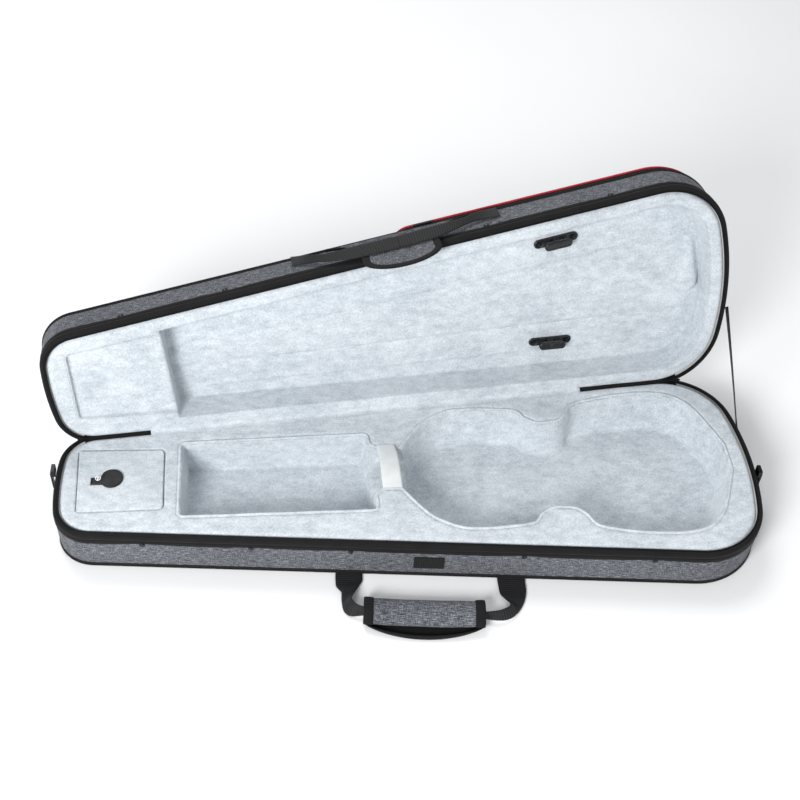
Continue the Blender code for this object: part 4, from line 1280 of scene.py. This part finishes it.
def neck_ribbon():
    """Satin strap arched over the neck slot, its ends tucked into the lining."""
    front = (
        (-37, -23, -0.9), (-37, -20, 0.2), (-37.5, -8, 2.6), (-38, 12, 4.2),
        (-39, 28, 3.2), (-40, 39, 0.9), (-40, 43, -0.8),
    )
    back = (
        (-14, -23, -0.9), (-14, -20, 0.2), (-14.5, -8, 2.8), (-15.5, 12, 4.4),
        (-17, 28, 3.3), (-18.5, 38, 0.8), (-19, 42, -0.9),
    )
    raised = [np.array(edge) * MM + (0, 0, RIM_Z) for edge in (front, back)]
    mesh = ribbon("neck_ribbon", *raised, 0.6 * MM, 0.0, spacing=1.2 * MM)
    made = add_piece("neck_ribbon", mesh, SATIN, "neck_strap", "neck_strap")


def front_place(points):
    """Plan (x, z) with a height outside the front side, to the row frame of the closed case."""
    points = np.asarray(points, float)
    wall = np.column_stack([points[:, 0], [-half_width(x) for x in points[:, 0]], points[:, 1]])
    return wall + FRONT_OUT * points[:, 2:3]


def lid_front_place(points):
    """The same on the lid, where it is with the lid open."""
    return opened(front_place(points))


def fastening_patch():
    """Hook patch sewn on the front of the base."""
    outline = cornered(((-7, 16), (27, 16), (27, 36), (-7, 36)), 1.2, 1.6 * MM)
    mesh = plaque(
        "hook_patch", outline, rounded_top(1.5 * MM, 0.6 * MM), lambda p: front_place(p + (0, 0, 6.6 * MM)),
        1.5 * MM, back=0.0,
    )
    add_piece("hook_patch", mesh, HOOKS, "base", "velcro_patch")


def base_handle():
    """Webs, padded grip, its bound ends, and its black underside that runs out into a painted shadow on the
    floor.
    """
    left = (
        ((-64, -97.5, 1.2), (-94, -94.8, 1.2)), ((-64.5, -110.5, 1.6), (-94.5, -114.5, 1.6)),
        ((-67.4, -116.5, 2.8), (-92, -120.5, 1.6)), ((-70, -122, 5), (-88.8, -125.5, 1.8)),
        ((-75, -132.5, 10), (-89, -135.5, 1.8)), ((-78.3, -140, 13.5), (-87.5, -149, 1.8)),
        ((-76.9, -145, 15), (-81.5, -156.5, 2.2)), ((-71.4, -151.5, 16), (-71.7, -157.5, 2.8)),
        ((-56, -157.5, 15.5), (-56, -157, 4)),
    )
    right = (
        ((87, -111.5, 1.2), (119, -114.5, 1.2)), ((87, -123.9, 1.6), (117.9, -121.9, 1.6)),
        ((87.5, -137.2, 3), (117.5, -132.9, 1.6)), ((91.3, -146.3, 6), (115.3, -143, 1.8)),
        ((95.2, -153, 9), (111.4, -152.2, 2)), ((94.7, -159, 12), (104.5, -162.4, 2.2)),
        ((87.9, -164, 14.5), (94.7, -170, 2.6)), ((79, -167, 15.5), (82, -172, 3)),
        ((58, -168, 15), (58, -168, 4)),
    )
    for side_name, edges in (("left", left), ("right", right)):
        first, second = (np.array(edges) * MM).swapaxes(0, 1)
        mesh = ribbon(f"handle_web_{side_name}", first, second, 1.7 * MM, 0.38 * MM, 3.1 * MM, 0.5 * MM)
        add_piece(
            f"handle_web_{side_name}", mesh, WEBBING,
            "base_handle", f"base_handle_web_{side_name}",
        )
    grip()


GRIP_CENTRE = np.array((0.0, -161.5, 10.4)) * MM
GRIP_HALF = 66.5 * MM
BINDING_WIDTH = 11 * MM
BINDING_PROFILE = (
    (0, 0.0), (0.03, 0.7), (0.12, 1.05), (0.5, 1.25), (0.88, 1.0), (0.97, 0.6), (1.0, -0.4), (1.0, -3.2),
)


def grip_section(at, angles, radii):
    """Points of an oval around the grip's line at a distance from its middle."""
    bow = 1.6 * MM * (1 - (at / GRIP_HALF) ** 2)
    centre = GRIP_CENTRE + FRONT_ALONG * at + FRONT_OUT * bow
    out = np.outer(np.cos(angles), FRONT_OUT) * radii[0]
    up = np.outer(np.sin(angles), (0, 0, 1)) * radii[1]
    return centre + out + up


def grip():
    """Canvas sleeve over foam, black bound ends, and below it a black sheet: partly the grip's black cloth
    underside, partly a painted shadow bulging out onto the floor.
    """
    angles = full_turn(48)
    edge = GRIP_HALF - BINDING_WIDTH
    rows = []
    random = np.random.default_rng(4)
    wrinkle = random.uniform(-1, 1, (4, 3))
    for at in np.linspace(-edge - 1 * MM, edge + 1 * MM, 90):
        swell = 1 + 0.035 * (1 - (at / edge) ** 2) ** 0.5 if abs(at) < edge else 1.0
        section = grip_section(at, angles, (15.6 * MM * swell, 8.8 * MM * swell))
        folds = sum(
            a * np.sin(angles * (2 + i) + b * 3) * math.sin(at * (90 + 40 * i) + c * 3)
            for i, (a, b, c) in enumerate(wrinkle)
        )
        normal = section - section.mean(0)
        normal /= np.linalg.norm(normal, axis=1)[:, None]
        rows.append(section + normal * (folds * 0.22 * MM)[:, None])
    mesh = grid_mesh("grip_sleeve", np.array(rows), wrap_columns=True, caps=True)
    swap_uv(mesh)
    sleeve = add_piece("grip_sleeve", mesh, CANVAS, "base_handle", "base_grip_wrap")
    for sign, label in ((-1, "left"), (1, "right")):
        rows = []
        for part, grow in BINDING_PROFILE:
            at = sign * (edge + BINDING_WIDTH * part)
            rows.append(grip_section(at, angles, ((15.8 + grow) * MM, (9.0 + grow) * MM)))
        name = f"grip_end_{label}"
        binding = grid_mesh(name, np.array(rows), wrap_columns=True, caps=True)
        add_piece(name, binding, TAPE, "base_handle", f"base_grip_binding_{label}")
    # Black sheet under the grip: the lower half round the grip is its black underside; the bulge out and down
    # to the floor is a painted shadow.
    underside_shadow_angles = np.radians(np.linspace(-4, -176, 28))
    rows = []
    for at in np.linspace(-GRIP_HALF + 3 * MM, GRIP_HALF - 3 * MM, 60):
        bulge = max(0.0, 1 - (at / (GRIP_HALF - 2 * MM)) ** 2) ** 0.8
        section = grip_section(at, underside_shadow_angles, (16.6 * MM, 9.3 * MM))
        reach = 14.5 * MM * bulge * np.clip(np.cos(underside_shadow_angles + math.radians(38)), 0, 1) ** 1.5
        section = section + np.outer(reach, FRONT_OUT * 0.9 + np.array((0, 0, -0.35)))
        section[:, 2] = np.maximum(section[:, 2], 0.5 * MM + 0.2 * MM * np.sin(underside_shadow_angles * 9))
        rows.append(section)
    outer = np.array(rows)
    middle = outer.mean(axis=1, keepdims=True)
    inner = middle + (outer - middle) * 0.93
    both = np.concatenate([outer, inner[:, ::-1]], axis=1)
    mesh = grid_mesh("grip_underside_and_painted_shadow", both, wrap_columns=True, caps=True)
    add_piece("grip_underside_and_painted_shadow", mesh, TAPE, "base_handle")


def swap_uv(mesh):
    """Turns the weave a quarter, so that the slubs run along the piece."""
    layer = mesh.uv_layers[0]
    pairs = np.zeros(len(layer.data) * 2, np.float32)
    layer.data.foreach_get("uv", pairs)
    layer.data.foreach_set("uv", pairs.reshape(-1, 2)[:, ::-1].ravel())


# ---------------------------------------------------------------- lid fittings

def lid_handle():
    """Webbing handle in two lengths that meet in the middle, drawn where they lie with the lid open."""
    stations = (
        (-107, 94, 8.9, 11, 0), (-98, 92, 9.0, 10.5, 0), (-88, 83, 10.6, 7.5, 34), (-77, 75, 12.4, 6.5, 44),
        (-60, 69, 12.8, 8, 42), (-32, 66.5, 12.6, 10.5, 34), (14, 66, 12.5, 11, 30),
        (52, 68.5, 12.6, 11, 30), (76, 73, 12.6, 8.5, 38), (94, 79, 12.2, 6.5, 44),
        (108, 85.5, 11.0, 7.5, 34), (121, 89.5, 9.4, 10, 8), (133, 91, 9.0, 11, 0),
    )
    lower, upper = [], []
    for x, z, offset, half, twist in stations:
        rise, out = half * math.cos(math.radians(twist)), half * abs(math.sin(math.radians(twist)))
        lower.append(front_point(x, offset + (out if twist < 0 else 0), z - rise))
        upper.append(front_point(x, offset + (out if twist > 0 else 0), z + rise))
    middle = 6
    halves = (
        ("left", slice(0, middle + 1), (-104, -64)), ("right", slice(middle, None), (130, 90)),
    )
    for label, part, (held_x, free_x) in halves:
        name = f"lid_handle_{label}"
        edges = opened(lower[part]), opened(upper[part])
        mesh = ribbon(name, *edges, 1.7 * MM, 0.36 * MM, 3.0 * MM, 0.5 * MM)
        replaced = "lid_handle_web" if label == "left" else ()
        made = add_piece(name, mesh, WEBBING, None, replaced)
        start, end = (Vector(opened(front_point(x, 9, 90))) for x in (held_x, free_x))
        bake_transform(made)


def flap():
    """Canvas panel under the handle, its bound edges, and the tongue below it."""
    left_points = np.array(((-66, 102.2), (-50, 98), (-39, 89), (-31.5, 73.6))) * MM
    right_points = np.array(((59.5, 73.6), (67, 89), (79, 98), (98, 102.2))) * MM
    left, right = (smooth_line(points, 1.5 * MM) for points in (left_points, right_points))
    bottom = np.linspace(left[-1], right[0], 40)[1:-1]
    top = np.linspace(right[-1], left[0], 70)[1:-1]
    loop = loop_outline(np.vstack([left, bottom, right, top]))
    mesh = plaque(
        "flap_canvas", loop, rounded_top(1.6 * MM, 0.7 * MM),
        lambda p: lid_front_place(p + (0, 0, 6.7 * MM)), 2.5 * MM,
    )
    add_piece("flap_canvas", mesh, CANVAS, "lid", "flap_panel")
    for label, line in (("left", left), ("right", right)):
        bead = lid_front_place(np.column_stack([line, np.full(len(line), 7.7 * MM)]))
        mesh = bead_along(f"flap_binding_{label}", bead, 1.9 * MM, 1.5 * MM)
        add_piece(f"flap_binding_{label}", mesh, PIPING, "lid")
    tongue()


def tongue_loop(inset):
    """Outline of the tongue, square above and half round below, shrunk by an inset."""
    x0, x1, top = -30 + inset, 58 - inset, 73.4 - inset * 0.3
    radii = (44 - inset, 29 - inset)
    angles = np.radians(np.linspace(180, 360, 44))
    arc = [(14 + radii[0] * math.cos(a), 46 + radii[1] * math.sin(a)) for a in angles]
    side = [(x0, z) for z in np.linspace(top, 46, 12)[:-1]]
    other = [(x1, z) for z in np.linspace(46, top, 12)[1:]]
    upper = [(x, top) for x in np.linspace(x1, x0, 36)[1:-1]]
    return loop_outline(np.array(side + arc + other + upper) * MM)


def tongue():
    """Canvas tongue with a bound edge and hook tape on its back."""
    def place(points):
        bowed = points.copy()
        bowed[:, 2] += 9.4 * MM + 1.2 * MM * smoothstep(-points[:, 1], -60 * MM, -20 * MM)
        return lid_front_place(bowed)

    inner = plaque("tongue_canvas", tongue_loop(6.5), rounded_top(1.3 * MM, 0.5 * MM), place, 2.2 * MM)
    piece = add_piece("tongue_canvas", inner, CANVAS, "tongue", "flap_tongue")
    outer, hole = tongue_loop(0), tongue_loop(8)
    count = len(outer[0])
    profile = (
        (0.0, 0.1), (-0.5, 0.8), (0.0, 1.6), (0.8, 1.95), (2.5, 2.0),
        (5.2, 1.85), (7.0, 1.75), (7.8, 1.3), (7.8, 0.3), (4.0, -0.2),
    )
    rows = []
    for inset, height in profile:
        part = inset / 8
        plan_points = outer[0] * (1 - part) + hole[0] * part
        rows.append(place(np.column_stack([plan_points, np.full(count, height * MM)])))
    binding = grid_mesh("tongue_edge", np.array(rows), wrap_rows=True, wrap_columns=True)
    add_piece("tongue_edge", binding, TAPE, "tongue", "tongue_binding")
    hooks = cornered(((-5, 32), (25, 32), (25, 49), (-5, 49)), 1.0, 1.6 * MM)
    patch = plaque(
        "tongue_hooks", hooks, lambda p, d: np.full(len(p), -0.25 * MM),
        lambda p: lid_front_place(p + (0, 0, 9.4 * MM)), 1.6 * MM, back=-1.1 * MM,
    )
    add_piece("tongue_hooks", patch, HOOKS, "tongue", "tongue_velcro")


def pocket_outline():
    """Outline of the music pocket, a little outside the line of the zip teeth."""
    beyond = 4.5 * MM
    start_x = 8 * MM
    narrow = half_width(start_x) + beyond
    wide_x = LENGTH / 2 - WIDE_BULGE + beyond
    wide = half_width(wide_x) + beyond
    return rounded_outline((
        (start_x, -narrow, 26 * MM), (wide_x, -wide, 75.9 * MM), (LENGTH / 2 + beyond, 0, 355 * MM),
        (wide_x, wide, 75.9 * MM), (start_x, narrow, 26 * MM),
    ))


def music_pocket():
    """Zipped pocket on the lid: black gusset, red piping and canvas face."""
    outline = pocket_outline()
    face = LID_HEIGHT
    gusset = [(o * MM, face + d * MM) for o, d in (
        (-7, 0.1), (-1.4, 0.1), (-1.5, 1.4), (-2.2, 2.6), (-2.3, 4.1), (-3.0, 4.5), (-3.0, 5.1), (-2.3, 5.5),
        (-2.2, 8.0), (-1.6, 10.2), (-7, 10.2),
    )]
    ring_piece("pocket_gusset", gusset, LID, TAPE, "pocket_zip_tape", outline)
    bead = [
        (-1.0 * MM + 1.3 * MM * math.cos(a), face + 11.3 * MM + 1.3 * MM * math.sin(a))
        for a in full_turn(12)
    ]
    ring_piece("pocket_red_piping", bead, LID, RED, "pocket_piping", outline)
    stack = (
        (-3, 10.5), (-1.4, 10.7), (-1.2, 12.2), (-2.4, 13.1), (-6, 14.4),
        (-11, 15.5), (-17, 16.1), (-24, 16.4), (-32, 16.6),
    )
    loops = list(ring_rows(outline, [(o * MM, face + d * MM) for o, d in stack]))
    middle = loops[-1].mean(0)
    for shrink in (0.8, 0.6, 0.4, 0.2, 0.05):
        loop = middle + (loops[8] - middle) * (shrink, shrink, 1)
        loop[:, 2] = face + (16.6 + 0.4 * (1 - shrink)) * MM + ripple(loop[:, :2], 0.09, 1.0 * MM, 17)
        loops.append(loop)
    mesh = grid_mesh("pocket_face", placed(np.array(loops), LID), wrap_columns=True, caps=True)
    plan_uv(mesh, LID)
    piece = add_piece("pocket_face", mesh, CANVAS, "lid", "music_pocket")


def obround(length, width):
    """Outline of a bar with round ends, in millimetres."""
    half = (length - width) / 2
    radius = width / 2
    angles = np.radians(np.linspace(-90, 90, 19))
    first = [(half + radius * math.cos(a), radius * math.sin(a)) for a in angles]
    second = [(-x, -y) for x, y in first]
    side = [(x, radius) for x in np.linspace(half, -half, 24)[1:-1]]
    other = [(x, -radius) for x in np.linspace(-half, half, 24)[1:-1]]
    return loop_outline(np.array(first + side + second + other) * MM)


def bow_holder(number, x, y, angle_deg):
    """Plate with two screw wells, and the spinner on its post."""
    turn = math.radians(angle_deg)
    floor = RIM_Z + 36 * MM

    def place_at(height):
        def place(points):
            a, b = points[:, 0], points[:, 1]
            return opened(np.column_stack([
                x * MM + a * math.cos(turn) - b * math.sin(turn),
                y * MM + a * math.sin(turn) + b * math.cos(turn), floor - height - points[:, 2],
            ]))
        return place

    def plate_height(points, depth_in):
        wells = np.min([np.linalg.norm(points - (e * 20.5 * MM, 0), axis=1) for e in (-1, 1)], axis=0)
        rim = 0.5 * MM * np.exp(-((wells - 4.2 * MM) / (0.5 * MM)) ** 2)
        well = 0.7 * MM * (1 - smoothstep(wells, 3.2 * MM, 4.0 * MM))
        rib = 0.45 * MM * np.exp(-((depth_in - 1.4 * MM) / (0.5 * MM)) ** 2)
        ribbed = np.abs(points[:, 0]) < 15 * MM
        return rounded_top(3.0 * MM, 0.9 * MM)(points, depth_in) + rim - well + rib * ribbed

    name = f"holder_plate_{number}"
    mesh = plaque(name, obround(53, 11), plate_height, place_at(0), 0.7 * MM, (0, 0.25, 0.6, 1.0, 1.5))
    add_piece(name, mesh, PLASTIC, "lid", f"bow_holder_{number}_plate")
    angles = full_turn(32)
    rows = []
    for r, h in ((4.6, -0.6), (4.6, 0.8), (4.2, 1.3), (3.5, 1.9), (3.4, 8.6)):
        ring = np.column_stack([r * MM * np.cos(angles), r * MM * np.sin(angles), np.full(32, h * MM)])
        rows.append(place_at(3.2 * MM)(ring))
    post = grid_mesh("post", np.array(rows), wrap_columns=True, caps=True)

    def bar_height(points, depth_in):
        pin = np.linalg.norm(points, axis=1)
        groove = 0.8 * MM * np.exp(-((pin - 2.9 * MM) / (0.4 * MM)) ** 2)
        hollow = 0.5 * MM * smoothstep(depth_in, 1.6 * MM, 2.3 * MM) * (pin > 4.2 * MM)
        return rounded_top(4.4 * MM, 1.5 * MM)(points, depth_in) - groove - hollow

    insets = (0, 0.3, 0.7, 1.1, 1.6, 2.2)
    bar = plaque("bar", obround(33, 10), bar_height, place_at(11.5 * MM), 0.6 * MM, insets)
    name = f"spinner_bar_{number}"
    mesh = joined(name, [post, bar])
    add_piece(name, mesh, PLASTIC, f"spinner_{number}", f"bow_holder_{number}_spinner")


def carried_over():
    """Materials and softened edges of the CAD nodes that are shown as they are."""
    looks = {
        "base_core": FOAM, "lid_core": FOAM, "base_grip_core": FOAM,
        "stay_anchor_base": PATCH, "stay_anchor_lid": PATCH,
    }
    for name, item in frame["nodes"].items():
        if "stud" in name:
            look = PLASTIC
        elif "screw" in name:
            look = DARK_STEEL
        elif "slider" in name or "pull_" in name or name.endswith("_pull"):
            look = DARK_STEEL
        else:
            look = looks.get(name)
        if look is None or item.hide_render:
            continue
        item.data.materials.clear()
        item.data.materials.append(look)
        if look is not FOAM:
            bevel = item.modifiers.new("soft_edges", "BEVEL")
            bevel.width = 0.3 * MM if look is not PATCH else 0.5 * MM
            bevel.segments = 2
            item.data.shade_smooth()


# ---------------------------------------------------------------- stage

FOCAL_LENGTH = 55.697
VIEWPOINT = (-0.13516, -0.89563, 1.15706)
# Elevation, yaw and roll in degrees
VIEW_ANGLES = (47.3341, -7.2938, 3.5405)


def camera():
    """Camera at the viewing angle of the reference."""
    elevation, yaw, roll = (math.radians(a) for a in VIEW_ANGLES)
    right = Vector((math.cos(yaw), math.sin(yaw), 0))
    level_back = Vector((math.sin(yaw), -math.cos(yaw), 0))
    back = level_back * math.cos(elevation) + Vector((0, 0, math.sin(elevation)))
    up = back.cross(right)
    across = right * math.cos(roll) + up * math.sin(roll)
    over = -right * math.sin(roll) + up * math.cos(roll)
    data = bpy.data.cameras.new("view")
    data.sensor_width = 36
    data.lens = FOCAL_LENGTH
    made = in_scene("view", data)
    turn = Matrix((across, over, back)).transposed().to_4x4()
    made.matrix_world = Matrix.Translation(VIEWPOINT) @ turn
    bpy.context.scene.camera = made


def area_light(name, location, size, power, target=(0, 0.05, 0.08)):
    """Round light aimed at the case."""
    data = bpy.data.lights.new(name, "AREA")
    data.shape = "DISK"
    data.size = size
    data.energy = power
    made = in_scene(name, data)
    made.location = location
    made.rotation_mode = "QUATERNION"
    made.rotation_quaternion = (Vector(location) - Vector(target)).to_track_quat("Z", "Y")


def studio():
    """Pale floor and soft light from all round, strongest from the upper left."""
    mesh = mesh_from("floor", [(-3, -3, 0), (3, -3, 0), (3, 3, 0), (-3, 3, 0)], [(0, 1, 2, 3)])
    mesh.materials.append(floor_look())
    floor = in_scene("floor", mesh)
    floor.location.z = -0.3 * MM
    world = bpy.data.worlds.new("studio")
    bpy.context.scene.world = world
    world.use_nodes = True
    background = world.node_tree.nodes["Background"]
    background.inputs["Color"].default_value = (0.93, 0.96, 1.0, 1)
    background.inputs["Strength"].default_value = 0.42
    area_light("key", (-1.0, -1.5, 1.15), 0.8, 42)
    area_light("fill", (1.3, -1.2, 1.2), 1.6, 8)
    area_light("back", (-0.5, 1.5, 2.2), 1.6, 34)
    bpy.context.scene.view_settings.view_transform = "Standard"


camera()
studio()
for half in (BASE, LID):
    shell(half)
    zip_tape(half)
    zip_teeth(half)
    hinge_leaf(half)
base_lining()
lid_lining()
hinge_strip("hinge_velour", 92 * MM, 612 * MM, PLUSH)
hinge_strip("hinge_tape_narrow_end", 16 * MM, 93 * MM, TAPE, 93 * MM)
hinge_strip("hinge_tape_wide_end", 611 * MM, 736 * MM, TAPE, 611 * MM)
stay_strap()
compartment_cover()
pull_tab()
neck_ribbon()
fastening_patch()
base_handle()
lid_handle()
flap()
music_pocket()
for holder in ((1, 199, -73, -5.2), (2, 189, 63, 5.2)):
    bow_holder(*holder)
carried_over()
